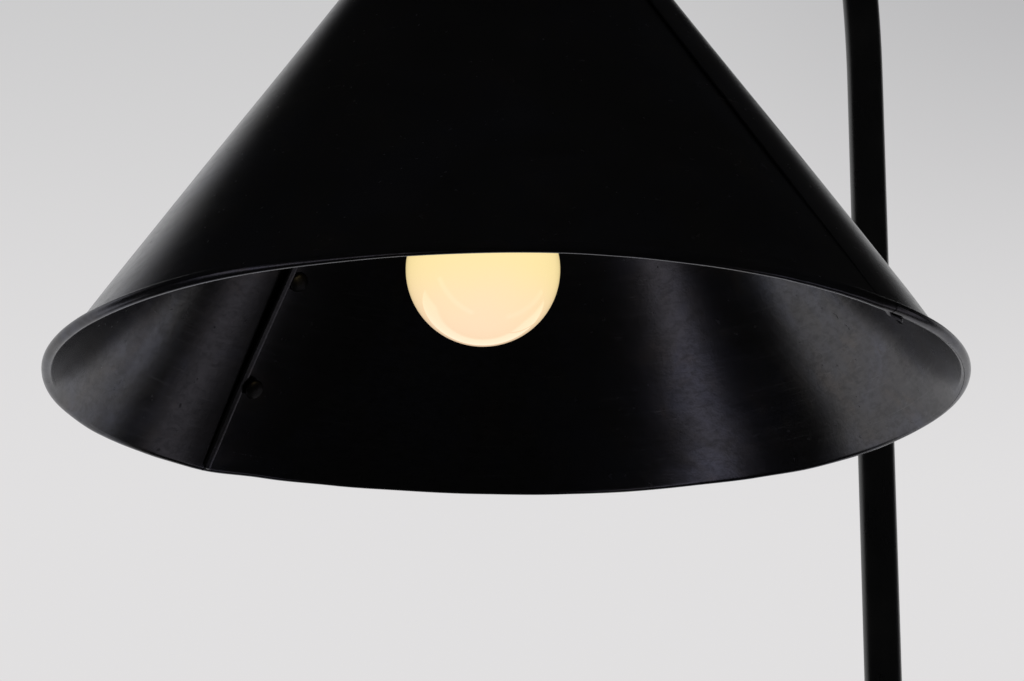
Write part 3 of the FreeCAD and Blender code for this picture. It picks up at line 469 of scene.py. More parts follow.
def sweepTube(name, path, outer, inner, segments=64, squeeze=None):
    # A hollow tube along points in the XZ plane; squeeze flattens it a little along the path
    points, faces = [], []
    count = len(path)
    for i, spot in enumerate(path):
        ahead = (path[min(i + 1, count - 1)] - path[max(i - 1, 0)]).normalized()
        across = Vector((0, 1, 0))
        up = ahead.cross(across)
        flat = 1.0 if squeeze is None else squeeze(i / (count - 1))
        for radius in (outer, inner):
            for k in range(segments):
                angle = 2 * math.pi * k / segments
                wide, high = radius * math.cos(angle) / flat, radius * math.sin(angle) * flat
                points.append(spot + across * wide + up * high)
    ring = 2 * segments
    for i in range(count - 1):
        for k in range(segments):
            m = (k + 1) % segments
            for shift in (0, segments):
                a, b = i * ring + shift, (i + 1) * ring + shift
                faces.append((a + k, a + m, b + m, b + k))
    for i in (0, count - 1):
        for k in range(segments):
            m = (k + 1) % segments
            a = i * ring
            faces.append((a + k, a + m, a + segments + m, a + segments + k))
    return faceOutwards(newPiece(name, points, faces))


def shellFromGrid(name, outer, inner, kept):
    # Closed shell between two grids of points; kept says which cells exist
    rows, columns = len(outer), len(outer[0])
    points = [p for row in outer for p in row] + [p for row in inner for p in row]
    shift = rows * columns
    faces = []

    def index(i, j):
        return i * columns + j

    for i in range(rows - 1):
        for j in range(columns - 1):
            if not kept(i, j):
                continue
            a, b, c, d = index(i, j), index(i, j + 1), index(i + 1, j + 1), index(i + 1, j)
            faces.append((a, b, c, d))
            faces.append((d + shift, c + shift, b + shift, a + shift))
            for di, dj, p, q in ((-1, 0, a, b), (0, 1, b, c), (1, 0, c, d), (0, -1, d, a)):
                ni, nj = i + di, j + dj
                if 0 <= ni < rows - 1 and 0 <= nj < columns - 1 and kept(ni, nj):
                    continue
                faces.append((q, p, p + shift, q + shift))
    return faceOutwards(dropLoose(newPiece(name, points, faces)))


def dropLoose(piece):
    shape = bmesh.new()
    shape.from_mesh(piece.data)
    bmesh.ops.delete(shape, geom=[v for v in shape.verts if not v.link_faces], context="VERTS")
    shape.to_mesh(piece.data)
    shape.free()
    return piece


def smooth(value, low, high):
    t = min(max((value - low) / (high - low), 0.0), 1.0)
    return t * t * (3 - 2 * t)


# shade: two sheets, each with one hemmed edge inside and one plain edge outside

sheetSet = {
    "topHeight": 285.0,
    "rimRadius": 229.0,
    "halfAngle": 34.4,
    "flareTop": 150.0,
    "flareBend": 70.0,
    "wireOut": 233.5,
    "wireUp": 2.9,
    "wireRadius": 2.0,
    "thick": 0.9,
    "wrap": 285.0,
    "lap": 18.0,
    "lapGap": 0.7,
    "joggle": 30.0,
    "curl": 1.6,  # the seam's inner layer leans inwards towards its hem
    "curlWidth": 45.0,
    "hemWidth": 5.2,
    "hemFold": 1.2,
    "hemTop": 262.0,
    "tongueCut": 2.5,
    "tongueTurn": 0.10,  # share of the roll that the inner sheet's tongue goes round
    "frontHem": 77.8,
    "rearHem": -110.4,
    "frontJoints": (18.7, 1.6),  # where the rolled rims meet: beyond the front hem, beyond the other one
    "rearJoints": (2.4, 18.0),
    "columns": 176,
    "rows": (26, 18, 26, 34),  # down the cone, the bend, the flare and round the roll
    "jointReach": (3, 14),  # heights over which seam features fade in
    "insetReach": (3.0, 12.0),
    "pressedReach": (4, 110),
    "pressed": 0.9,
    "curlReach": (-20, 60),
    "wobble": 0.22,
    "rollWobble": 0.06,
    "rivetLine": 10.4,
    "rivetPitch": 65.5,
    "rivetStart": 46.6,
    "rivetCount": 5,
}


def sheetPath():
    # Points down the sheet's outer face with the inward direction at each, ending round the rim wire
    s = sheetSet
    slope = math.radians(s["halfAngle"])
    inwardCone = Vector((-math.cos(slope), -math.sin(slope)))
    start = Vector((s["rimRadius"] - math.tan(slope) * s["flareTop"], s["flareTop"]))
    wire = Vector((s["wireOut"], s["wireUp"]))
    toWire = wire - start
    heading = math.atan2(toWire.y, toWire.x) - math.asin(s["wireRadius"] / toWire.length)
    along = Vector((math.cos(heading), math.sin(heading)))
    inwardFlare = Vector((math.sin(heading), -math.cos(heading)))
    foot = start + along * math.sqrt(toWire.length ** 2 - s["wireRadius"] ** 2)
    top = Vector((s["rimRadius"] - math.tan(slope) * s["topHeight"], s["topHeight"]))
    path = []
    coneRows, bendRows, flareRows, rollRows = s["rows"]
    bendLength = s["flareBend"]
    upper = start + (top - start).normalized() * bendLength
    lower = start + along * bendLength
    for i in range(coneRows):
        path.append((top.lerp(upper, i / coneRows), inwardCone, 0.0))
    for i in range(bendRows):
        t = i / bendRows
        spot = upper * (1 - t) ** 2 + start * (2 * t * (1 - t)) + lower * t ** 2
        path.append((spot, inwardCone.lerp(inwardFlare, t).normalized(), 0.0))
    for i in range(flareRows):
        share = 1 - (1 - i / flareRows) ** 1.5
        path.append((lower.lerp(foot, share), inwardFlare, 0.0))
    first = math.atan2(inwardFlare.y, inwardFlare.x)
    for i in range(rollRows + 1):
        share = i / rollRows
        angle = first + math.radians(s["wrap"]) * share
        out = Vector((math.cos(angle), math.sin(angle)))
        path.append((wire + out * s["wireRadius"], out, share))
    return path


def sheetColumns():
    # Distances from the hemmed edge across the seam, dense where the sheet bends
    s = sheetSet
    lapStart = s["lap"] + s["lapGap"]
    bend = [lapStart + s["joggle"] * (1 - k / 5) for k in range(6)]
    hem = s["hemWidth"]
    flat = [17.0, 14.0, 10.4, 8.0, hem + 0.7, hem + 0.2, hem + 0.05, hem - 0.1, hem - 0.6]
    flat += [3.4, 2.4, 1.5, 1.0, 0.62, 0.33, 0.12, 0.0]
    return bend, flat


def makeSheet(name, hem, otherHem, hemJoint, plainJoint):
    # The joints are where the rolled rims meet, as distances from the hem's radial plane
    s = sheetSet
    path = sheetPath()
    bend, flat = sheetColumns()
    mainColumns = s["columns"]
    rowCount = len(path)
    tongueRow = next(i for i, (_, _, share) in enumerate(path) if share > s["tongueTurn"])
    lengths = [0.0]
    for (a, _, _), (b, _, _) in zip(path, path[1:]):
        lengths.append(lengths[-1] + (b - a).length)

    def along(distance):
        # Point, inward direction and roll share at a distance down the outer face
        for i in range(rowCount - 1):
            if distance <= lengths[i + 1] or i == rowCount - 2:
                t = (distance - lengths[i]) / (lengths[i + 1] - lengths[i])
                spot, inward, share = path[i]
                nextSpot, nextInward, nextShare = path[i + 1]
                share += (nextShare - share) * t
                return spot.lerp(nextSpot, t), inward.lerp(nextInward, t).normalized(), share

    lapStart = s["lap"] + s["lapGap"]
    fold = s["thick"] + s["hemFold"]
    outer, inner = [], []
    for i in range(rowCount):
        outerRow, innerRow = [], []
        spot, inward, share = path[i]
        low = 1 - smooth(spot.y, *s["jointReach"])
        plainEdge = s["lap"] + (plainJoint - s["lap"]) * low
        plain = math.radians(otherHem) - math.asin(min(plainEdge / spot.x, 1))
        jog = math.radians(hem) - math.asin(min((lapStart + s["joggle"]) / spot.x, 1))
        stations = []
        for j in range(mainColumns):
            t = j / mainColumns
            stations.append((plain + (jog - plain) * t, None))
        stations += [(None, d) for d in bend + flat]
        for j, (angle, d) in enumerate(stations):
            here, into, rolled = spot, inward, share
            inset, depth = 0.0, s["thick"]
            if d is not None:
                if d < lapStart and i <= tongueRow and hemJoint > d:
                    cut = s["tongueCut"] * smooth(s["hemWidth"] + 1 - d, 0.0, s["hemWidth"] + 1)
                    shorter = (lengths[tongueRow] - cut) / lengths[tongueRow]
                    here, into, rolled = along(lengths[i] * shorter)
                fade = smooth(here.y, *s["insetReach"]) if rolled == 0 else 0.0
                inset = (s["thick"] + 0.05) * smooth(lapStart + s["joggle"] - d, 0.0, s["joggle"])
                leaning = max(1 - d / s["curlWidth"], 0) ** 2
                inset += s["curl"] * leaning * smooth(s["hemTop"] - here.y, *s["curlReach"])
                if d >= lapStart or hemJoint < lapStart:
                    inset *= fade * (1 - s["pressed"] * (1 - smooth(here.y, *s["pressedReach"])))
                hemmed = smooth(s["hemWidth"] + 0.1 - d, 0.0, 0.25) * smooth(s["hemTop"] - here.y, 0.0, 2.0)
                if hemJoint < lapStart:
                    hemmed *= 1 - smooth(rolled, 0.0, 0.06)
                depth = s["thick"] + s["hemFold"] * hemmed
                if d < fold / 2 and hemmed > 0.5:
                    nose = math.sqrt(max((fold / 2) ** 2 - (fold / 2 - d) ** 2, 0.0))
                    inset, depth = inset + fold / 2 - nose, 2 * max(nose, 0.02)
                angle = math.radians(hem) - math.asin(min(d / here.x, 1))
            wobble = s["wobble"] * noise.noise(Vector((math.cos(angle) * 2.2, math.sin(angle) * 2.2, here.y / 90)))
            roll = s["rollWobble"] * (noise.noise(Vector((math.cos(angle) * 9, math.sin(angle) * 9, 5))) - 1)
            roll *= smooth(rolled, 0.1, 0.4)
            start = here + into * inset
            end = here + into * (inset + depth + roll)
            for row, point in ((outerRow, start), (innerRow, end)):
                row.append(shaped(point, angle, wobble * smooth(here.y, 0, 60)))
        outer.append(outerRow)
        inner.append(innerRow)
    distances = [math.inf] * mainColumns + bend + flat

    def kept(i, j):
        return distances[j + 1] >= min(hemJoint, lapStart) or i < tongueRow

    return shellFromGrid(name, outer, inner, kept)


handSet = {  # what hand work leaves: (angle, half width, millimetres)
    "dents": ((113.0, 50.0, -1.7), (-67.0, 50.0, -1.4)),
    "droop": (  # the rim hangs lowest at the two seams
        (-175, 1.9), (-164, 1.5), (-153, 1.05), (-142, 0.8), (-132, 1.25), (-121, 2.2), (-111, 4.1),
        (-104, 3.7), (-96, 3.3), (-89, 3.1), (-78, 2.4), (-60, 1.9), (-38, 2.3), (-33, 2.6), (-11, 2.0),
        (3, 2.4), (12, 2.1), (30, 1.4), (36, 1.7), (45, 2.3), (55, 2.8), (59, 3.3), (63, 3.8), (67, 4.3),
        (71, 4.9), (79, 4.5), (88, 3.6), (110, 2.4), (130, 2.4), (150, 3.1), (157, 3.25), (166, 2.55),
        (176, 1.9),
    ),
    "droopReach": (20.0, 110.0),  # heights above the rim where it fades out
    "dentReach": (0, 130),
    "belly": ((125.0, 45.0, 2.0), (-77.0, 40.0, 1.0)),
    "bellyFrom": (4, 38),
    "bellyTo": (110, 270),
    "skew": 0.0145,  # degrees for each millimetre of height, at the rear seam
    "skewWidth": 45.0,
}


def bumps(angle, listed):
    total = 0.0
    for centre, width, size in listed:
        gap = (math.degrees(angle) - centre + 180) % 360 - 180
        total += size * math.exp(-((gap / width) ** 2))
    return total


def droop(angle):
    stops = handSet["droop"]
    here = (math.degrees(angle) + 180) % 360 - 180
    for i, (low, _) in enumerate(stops):
        high = stops[i + 1][0] if i + 1 < len(stops) else stops[0][0] + 360
        turned = here if here >= low else here + 360
        if low <= turned <= high:
            first, second = stops[i][1], stops[(i + 1) % len(stops)][1]
            return first + (second - first) * smooth(turned, low, high)
    return stops[0][1]


def seamShift(angle, height):
    # The rear seam was riveted a little out of true
    return math.radians(bumps(angle, ((sheetSet["rearHem"], handSet["skewWidth"], handSet["skew"] * height),)))


def shaped(point, angle, extra=0.0):
    # A point of the ideal cone, (radius, height) and angle, as it stands on the real shade
    s = handSet
    belly = smooth(point.y, *s["bellyFrom"]) * (1 - smooth(point.y, *s["bellyTo"]))
    longer = droop(angle) * (1 - smooth(point.y, *s["droopReach"]))
    radius = point.x + extra + bumps(angle, s["dents"]) * (1 - smooth(point.y, *s["dentReach"]))
    radius += bumps(angle, s["belly"]) * belly + longer * math.tan(math.radians(sheetSet["halfAngle"]))
    height = point.y - longer
    angle += seamShift(angle, point.y)
    return shadeOrigin + Vector((radius * math.cos(angle), radius * math.sin(angle), height)) * mm


# Geometry Nodes for what repeats

def repeater(name, inputs):
    # A tree with named inputs, the graph to build it with, and its inputs as values
    tree = bpy.data.node_groups.new(name, "GeometryNodeTree")
    tree.interface.new_socket("Geometry", in_out="OUTPUT", socket_type="NodeSocketGeometry")
    for label, kind in inputs.items():
        tree.interface.new_socket(label, in_out="INPUT", socket_type="NodeSocket" + kind)
    graph = Graph(tree)
    given = graph.node("NodeGroupInput")
    return tree, graph, {label: graph.value(given.outputs[label]) for label in inputs}


def instancesOut(graph, given, spot, turn, placed=False):
    # Puts the fastener at every point, makes the copies real and gives them their finish
    points = graph.first("GeometryNodeMeshLine", None, {"Count": given["Count"]})
    points = graph.first("GeometryNodeSetPosition", None, {"Geometry": points, "Position": spot})
    item = graph.node("GeometryNodeObjectInfo", None, {"Object": given["Fastener"]}).outputs["Geometry"]
    turn = graph.first("FunctionNodeEulerToRotation", None, {0: turn})
    laid = {"Points": points, "Instance": item, "Rotation": turn}
    copies = graph.first("GeometryNodeInstanceOnPoints", None, laid)
    limits = {3: given["Spin"], "Seed": given["Seed"]}
    chance = graph.value(graph.node("FunctionNodeRandomValue", {"data_type": "FLOAT"}, limits).outputs[1])
    spin = graph.first("FunctionNodeEulerToRotation", None, {0: graph.join(0.0, 0.0, chance)})
    turned = graph.first("GeometryNodeRotateInstances", None, {"Instances": copies, "Rotation": spin})
    real = graph.first("GeometryNodeRealizeInstances", None, {0: turned})
    if placed:
        lean = graph.first("FunctionNodeEulerToRotation", None, {0: given["Lean"]})
        moves = {"Geometry": real, "Translation": given["Centre"], "Rotation": lean}
        real = graph.first("GeometryNodeTransform", None, moves)
    painted = graph.first("GeometryNodeSetMaterial", None, {0: real, "Material": given["Finish"]})
    graph.node("NodeGroupOutput", None, {0: painted})


fastenerInputs = {"Fastener": "Object", "Count": "Int", "Spin": "Float", "Seed": "Int", "Finish": "Material"}


def seamTree():
    # Fasteners down a seam of the cone, at a set distance from the radial plane of its hem
    sizes = ("Start", "Pitch", "Line", "Hem", "Rim", "Slope", "Skew")
    tree, graph, given = repeater("seam of rivets", {**fastenerInputs, **{label: "Float" for label in sizes}})
    index = graph.value(graph.first("GeometryNodeInputIndex"))
    slant = index * given["Pitch"] + given["Start"]
    slope = given["Slope"]
    radius = given["Rim"] - slant * slope.math("SINE")
    angle = given["Hem"] + given["Skew"] * slant - (given["Line"] / radius).math("ARCSINE")
    height = slant * slope.math("COSINE")
    spot = graph.join(radius * angle.math("COSINE"), radius * angle.math("SINE"), height)
    spot = graph.first("ShaderNodeVectorMath", {"operation": "ADD"}, {0: spot, 1: tuple(shadeOrigin)})
    instancesOut(graph, given, spot, graph.join(0.0, -math.pi / 2 - slope, angle))
    return tree


def ringTree():
    # Fasteners evenly round a circle, then leaned and moved to their centre
    inputs = {**fastenerInputs, "Radius": "Float", "Begin": "Float", "Centre": "Vector", "Lean": "Vector"}
    tree, graph, given = repeater("ring of fasteners", inputs)
    index = graph.value(graph.first("GeometryNodeInputIndex"))
    angle = index / given["Count"] * (2 * math.pi) + given["Begin"]
    spot = graph.join(given["Radius"] * angle.math("COSINE"), given["Radius"] * angle.math("SINE"), 0.0)
    instancesOut(graph, given, spot, graph.join(0.0, 0.0, angle), placed=True)
    return tree


def settled(piece):
    # The piece's mesh as its modifiers leave it
    return bpy.data.meshes.new_from_object(piece.evaluated_get(bpy.context.evaluated_depsgraph_get()))


def repeated(name, tree, settings):
    # Runs a tree on a bare object and keeps its result as a plain mesh
    holder = newPiece(name + " holder", [], [])
    modifier = holder.modifiers.new("repeat", "NODES")
    modifier.node_group = tree
    for socket in tree.interface.items_tree:
        if socket.in_out == "INPUT" and socket.name in settings:
            modifier[socket.identifier] = settings[socket.name]
    mesh = settled(holder)
    mesh.name = name
    holder.modifiers.remove(modifier)
    bpy.data.objects.remove(holder)
    return linked(name, mesh)


def joined(name, pieces):
    # One mesh of several
    shape = bmesh.new()
    for piece in pieces:
        shape.from_mesh(piece.data)
        bpy.data.objects.remove(piece)
    mesh = bpy.data.meshes.new(name)
    shape.to_mesh(mesh)
    shape.free()
    return linked(name, mesh)


def drilled(piece, cutters):
    # Holes by boolean, kept as a plain mesh
    for cutter in cutters:
        modifier = piece.modifiers.new("hole", "BOOLEAN")
        modifier.object = cutter
        modifier.solver = "EXACT"
    mesh = settled(piece)
    name = piece.name
    bpy.data.objects.remove(piece)
    for cutter in cutters:
        bpy.data.objects.remove(cutter)
    return linked(name, mesh)


# the finishes in use, one for each slot of the record

slotFinish = {
    "felt": denseFelt("dense felt"),
    "base_finish": texturedCoat("textured coat", floorOrigin),
    "tube_finish": satinBlack("satin enamel", stemOrigin),
    "blackened_sheet": blackenedSteel("blackened sheet", shadeOrigin),
    "rivet_steel": rivetSteel("rivet steel", shadeOrigin),
    "plated_steel": platedSteel("zinc plate", (0.52, 0.53, 0.55), (0.68, 0.69, 0.70)),
    "nylon": mouldedPlastic("nylon", (0.56, 0.54, 0.48), (0.66, 0.64, 0.58), 0.45),
    "black_plastic": mouldedPlastic("black plastic", (0.010, 0.010, 0.011), (0.022, 0.021, 0.021), 0.38),
    "brass": platedSteel("brass", (0.52, 0.36, 0.15), (0.76, 0.57, 0.27), 0.28),
    "lead_jacket": mouldedPlastic("lead jacket", (0.013, 0.013, 0.014), (0.024, 0.023, 0.023), 0.5),
    "bulb_cap_metal": platedSteel("bulb cap metal", (0.55, 0.55, 0.56), (0.74, 0.74, 0.75), 0.26),
    "insulator_glass": clearGlass("insulator glass"),
}
wireBlack = blackenedSteel("blackened wire", shadeOrigin, streaks=0.3)
print("finishes made")


# the shade's sheets

frontSheet = makeSheet("frontSheet", sheetSet["frontHem"], sheetSet["rearHem"], *sheetSet["frontJoints"])
finishPiece(frontSheet, "shade", "blackened_sheet", "front_sheet")
rearSheet = makeSheet("rearSheet", sheetSet["rearHem"] + 360, sheetSet["frontHem"], *sheetSet["rearJoints"])
finishPiece(rearSheet, "shade", "blackened_sheet", "rear_sheet")
print("sheets rolled and hemmed")


# the wire inside the rolled rim, following its small dents

wireSet = {"segments": 288, "sides": 20, "slack": 0.06}


def makeRimWire():
    points, faces = [], []
    around, sides = wireSet["segments"], wireSet["sides"]
    for i in range(around):
        angle = 2 * math.pi * i / around
        for k in range(sides):
            turn = 2 * math.pi * k / sides
            thin = sheetSet["wireRadius"] - wireSet["slack"]
            radius = sheetSet["wireOut"] + thin * math.cos(turn)
            points.append(shaped(Vector((radius, sheetSet["wireUp"] + thin * math.sin(turn))), angle))
    for i in range(around):
        for k in range(sides):
            a, b = i * sides, (i + 1) % around * sides
            m = (k + 1) % sides
            faces.append((a + k, b + k, b + m, a + m))
    return faceOutwards(newPiece("rimWire", points, faces))


finishPiece(makeRimWire(), "shade", "blackened_sheet", "rim_wire", material=wireBlack)


# rivets, heads inside the shade and tails dressed flush outside

rivetSet = {"headRadius": 5.6, "headHigh": 2.2, "shank": 2.0, "seat": 1.82, "sides": 26, "seed": 7}


def makeRivets():
    s = rivetSet
    outline = [(0.0, 0.02), (s["shank"], 0.02), (s["shank"], s["seat"]), (s["headRadius"] - 0.1, s["seat"])]
    steps, edge = 8, 0.22
    for i in range(steps + 1):
        t = 0.5 * math.pi * i / steps
        high = s["seat"] + edge + (s["headHigh"] - edge) * math.sin(t)
        outline.append((s["headRadius"] * math.cos(t) ** 0.9, high))

    def dressed(r, h, angle):
        dent = noise.noise(Vector((r * math.cos(angle) * 0.5, r * math.sin(angle) * 0.5, h * 0.6 + 3)))
        return r * (1 + 0.035 * dent)

    head = lathe("rivet", outline, Matrix.Scale(mm, 4), s["sides"], reach=dressed)
    head.data.shade_smooth()
    tree = seamTree()
    common = {
        "Fastener": head,
        "Count": sheetSet["rivetCount"],
        "Spin": 2 * math.pi,
        "Seed": s["seed"],
        "Finish": slotFinish["rivet_steel"],
        "Start": sheetSet["rivetStart"] * mm,
        "Pitch": sheetSet["rivetPitch"] * mm,
        "Line": sheetSet["rivetLine"] * mm,
        "Rim": sheetSet["rimRadius"] * mm,
        "Slope": math.radians(sheetSet["halfAngle"]),
    }
    skew = math.radians(handSet["skew"]) / mm * math.cos(math.radians(sheetSet["halfAngle"]))
    front = repeated("frontSeam", tree, {**common, "Hem": math.radians(sheetSet["frontHem"]), "Skew": 0.0})
    rear = repeated("rearSeam", tree, {**common, "Hem": math.radians(sheetSet["rearHem"]), "Skew": skew})
    bpy.data.objects.remove(head)
    return joined("seamRivets", [front, rear])


seamRivets = makeRivets()
finishPiece(seamRivets, "shade", "rivet_steel", "front_rivets", "rear_rivets", angle=50)
print("rivets set:", len(seamRivets.data.polygons), "faces")


# cap over the sheets' upper ends

capSet = {"top": 1516.0, "foot": 1492.0, "thick": 1.5, "topRadius": 28.6, "footRadius": 45.0, "bore": 5.2}


uprightPlace = placeAt(Vector((shadeAxis.x, 0, 0)))


def makeShadeCap():
    s = capSet
    slope = math.radians(sheetSet["halfAngle"])
    inFoot = (s["footRadius"] - s["thick"] * math.cos(slope), s["foot"] - s["thick"] * math.sin(slope) * 0.2)
    underside = s["top"] - s["thick"]
    inTop = inFoot[0] - (underside - inFoot[1]) * math.tan(slope)
    outline = [
        (s["bore"], underside),
        (s["bore"], s["top"]),
        (s["topRadius"], s["top"], 3.0),
        (s["footRadius"] - 0.3, s["foot"] + 0.44, 0.6),
        (s["footRadius"], s["foot"], 0.3),
        (*inFoot, 0.3),
        (inTop, underside, 1.6),
    ]
    return lathe("shadeCap", outline, uprightPlace, 144)


finishPiece(makeShadeCap(), "shade", "blackened_sheet", "shade_cap")
print("cap spun")


# stem and arc

tubeSizes = {
    "outer": 12.7,
    "inner": 11.1,
    "foot": 29.0,
    "joint": 870.0,
    "spring": 1610.0,
    "reach": 654.0,
    "tail": 18.0,
    "chamfer": 0.25,
    "ovality": 0.012,
    "screwHeights": (832.0, 852.0, 888.0, 908.0),
    "screwHole": 2.55,
}


def easedEnds(path):
    # A point just inside each end, where the chamfer starts
    bit = tubeSizes["chamfer"] * mm
    first = path[0] + (path[1] - path[0]).normalized() * bit
    last = path[-1] + (path[-2] - path[-1]).normalized() * bit
    return [path[0], first] + path[1:-1] + [last, path[-1]]


def screwDrills(heights):
    s = tubeSizes
    side = placeAt(Vector((stemAxis.x, 0, 0)), Vector((-1, 0, 0)), Vector((0, 1, 0)))
    drills = []
    for height in heights:
        place = Matrix.Translation(Vector((0, 0, height * mm))) @ side
        low, high = s["inner"] - 3, s["outer"] + 3
        corners = [(0, low), (s["screwHole"], low), (s["screwHole"], high), (0, high)]
        drills.append(lathe("drill", corners, place, 40))
    return drills


def makeTubes():
    s = tubeSizes
    x = stemAxis.x
    lower = [Vector((x, 0, z * mm)) for z in (s["foot"], 300, 600, s["joint"] - 0.05)]
    tube = sweepTube("lowerTube", easedEnds(lower), s["outer"] * mm, s["inner"] * mm, 96)
    heights = [h for h in s["screwHeights"] if h < s["joint"]]
    finishPiece(drilled(tube, screwDrills(heights)), "stem", "tube_finish", "lower_tube")
    radius = s["reach"] / 2
    path = [Vector((x, 0, z * mm)) for z in (s["joint"] + 0.05, 1000, 1200, 1400, 1520, 1580)]
    for i in range(91):
        angle = math.pi * i / 90
        forward, height = radius - radius * math.cos(angle), s["spring"] + radius * math.sin(angle)
        path.append(Vector((x + forward * mm, 0, height * mm)))
    path.append(Vector((x + s["reach"] * mm, 0, (s["spring"] - s["tail"]) * mm)))
    count = len(path) + 1

    def flattened(share):
        place = share * count
        return 1 - s["ovality"] * smooth(place, 6, 16) * smooth(count - place, 2, 12)

    tube = sweepTube("arcTube", easedEnds(path), s["outer"] * mm, s["inner"] * mm, 96, flattened)
    heights = [h for h in s["screwHeights"] if h > s["joint"]]
    finishPiece(drilled(tube, screwDrills(heights)), "stem", "tube_finish", "arc_tube")


makeTubes()
print("tubes bent and drilled")


# what hangs leaning from the shade: its frame comes from the switch joint

holderSet = {"lean": 4.27, "heading": -66.9, "switchDrop": 44.0, "switchOut": 22.0}
switchJoint = next(joint for joint in frame["joints"] if joint["name"] == "switch_turn")
leanAngle = math.radians(holderSet["lean"])
sideways = compass(holderSet["heading"]) * math.sin(leanAngle)
holderUp = Vector((0, 0, math.cos(leanAngle))) - sideways
holderSide = Vector(switchJoint["axis"]).normalized()
holderOrigin = Vector(switchJoint["pos_m"])
holderOrigin += (holderUp * holderSet["switchDrop"] - holderSide * holderSet["switchOut"]) * mm
holderPlace = placeAt(holderOrigin, holderUp, holderSide)
knobPlace = placeAt(holderOrigin - holderUp * holderSet["switchDrop"] * mm, holderSide, Vector((0, 1, 0)))


# lamp holder: spun cap, shell with a rolled lip, liner and screw shell

shellSet = {
    "outer": 20.5,
    "inner": 19.5,
    "top": -32.0,
    "lip": -82.0,
    "lipRadius": 21.5,
    "keyHole": 3.2,
    "beads": (-60.0, -66.0),
    "beadHigh": 0.45,
    "cap": [(5.3, -14.0, 0.2), (9.0, -14.0, 1.4), (13.5, -16.0, 3.0), (18.0, -24.0, 5.0), (19.4, -34.0, 0.2)],
    "capUnder": [(19.4, -34.0, 0.2), (18.0, -24.6, 4.0), (13.5, -17.2, 2.0)],
    "capThick": 1.0,
    "liner": [(18.3, -35.0), (19.3, -35.0, 0.2), (19.3, -81.0, 0.3), (18.3, -81.0, 0.3)],
}


def makeHolder():
    s = shellSet
    wall = s["outer"] - s["inner"]
    outer = [(s["outer"], s["top"])]
    for k in range(61):
        height = s["top"] - 0.5 - k * (s["top"] - s["lip"] - 3.5) / 60
        swell = sum(math.exp(-(((height - bead) / 1.3) ** 2)) for bead in s["beads"]) * s["beadHigh"]
        outer.append((s["outer"] + swell, height))
    lip = s["lip"]
    curl = [(s["outer"], lip + 2.6), (s["outer"] + 0.35, lip + 1.7), (s["lipRadius"] - 0.25, lip + 1.25)]
    curl += [(s["lipRadius"], lip + 0.75), (s["lipRadius"] - 0.3, lip + 0.2)]
    curl += [(s["outer"] + 0.3, lip), (s["outer"] - 0.5, lip + 0.1)]
    inner = [(r - wall, height) for r, height in reversed(outer)]
    shell = lathe("holderShell", outer + curl + [(s["inner"], lip + 0.8)] + inner, holderPlace, 128)
    side = placeAt(holderOrigin - holderUp * holderSet["switchDrop"] * mm, holderSide)
    low, high = s["inner"] - 4, s["outer"] + 4
    corners = [(0, low), (s["keyHole"], low), (s["keyHole"], high), (0, high)]
    shell = drilled(shell, [lathe("drill", corners, side, 40)])
    finishPiece(shell, "shade", "brass", "holder_shell")
    thick = s["capThick"]
    under = [(radius - thick, height, fillet) for radius, height, fillet in s["capUnder"]]
    under += [(radius, height - thick) for radius, height, _ in reversed(s["cap"][:2])]
    cap = lathe("holderCap", s["cap"] + under, holderPlace, 112)
    finishPiece(cap, "shade", "brass", "holder_cap")
    liner = lathe("holderLiner", s["liner"], holderPlace, 96)
    finishPiece(liner, "shade", "black_plastic", "holder_liner")


# knuckle threads of the holder and the bulb's base

threadSet = {
    "pitch": 3.63,
    "depth": 0.9,
    "rows": 12,
    "screwShell": (13.7, 0.35, -79.0, -53.1),  # root radius, wall, low end, high end
    "bulbBase": (12.0, 0.3, -77.0, -55.6),
}


def threaded(name):
    # A thin formed sleeve whose thread winds down the holder's axis
    s = threadSet
    root, wall, low, high = s[name]
    count = int((high - low) / s["pitch"] * s["rows"])
    heights = [low + (high - low) * k / count for k in range(count + 1)]
    outline = [(root, h) for h in reversed(heights)] + [(root - wall, h) for h in heights]

    def wound(r, h, angle):
        phase = (h / s["pitch"] - angle / (2 * math.pi)) * 2 * math.pi
        ends = smooth(h, low, low + 2.0) * smooth(-h, -high, -high + 2.0)
        return r + s["depth"] * ends * (0.5 + 0.5 * math.cos(phase))

    return lathe(name, outline, holderPlace, 80, reach=wound)


finishPiece(threaded("screwShell"), "shade", "brass", "screw_shell")
finishPiece(threaded("bulbBase"), "shade", "bulb_cap_metal", "bulb_base")
makeHolder()
print("holder made")


# bulb

globeSet = {
    "radius": 40.0,
    "drop": 129.0,
    "waist": 22.0,
    "neck": 11.4,
    "shoulder": -77.5,
    "top": -65.5,
    "wall": 0.8,
}


def makeBulb():
    s = globeSet
    centre = -s["drop"]

    def side(less):
        radius = s["radius"] - less
        join = math.acos((s["waist"] - less) / radius)
        steps = 56
        points = []
        for k in range(steps + 1):
            angle = -math.pi / 2 + (math.pi / 2 + join) * k / steps
            reach = max(radius * math.cos(angle), 0.0) if k else 0.0
            points.append((reach, centre + radius * math.sin(angle)))
        points.append((s["neck"] - less, s["shoulder"], 9.0))
        points.append((s["neck"] - less, s["top"]))
        return points

    bulb = lathe("bulbGlass", side(0) + side(s["wall"])[::-1], holderPlace, 128, steps=8)
    glass = opalGlass("opal glass", holderOrigin - holderUp * s["drop"] * mm, holderUp)
    finishPiece(bulb, "shade", "opal_glass", "bulb_glass", material=glass, angle=60)
    bulb.visible_diffuse = False


makeBulb()
print("bulb blown")


# nuts

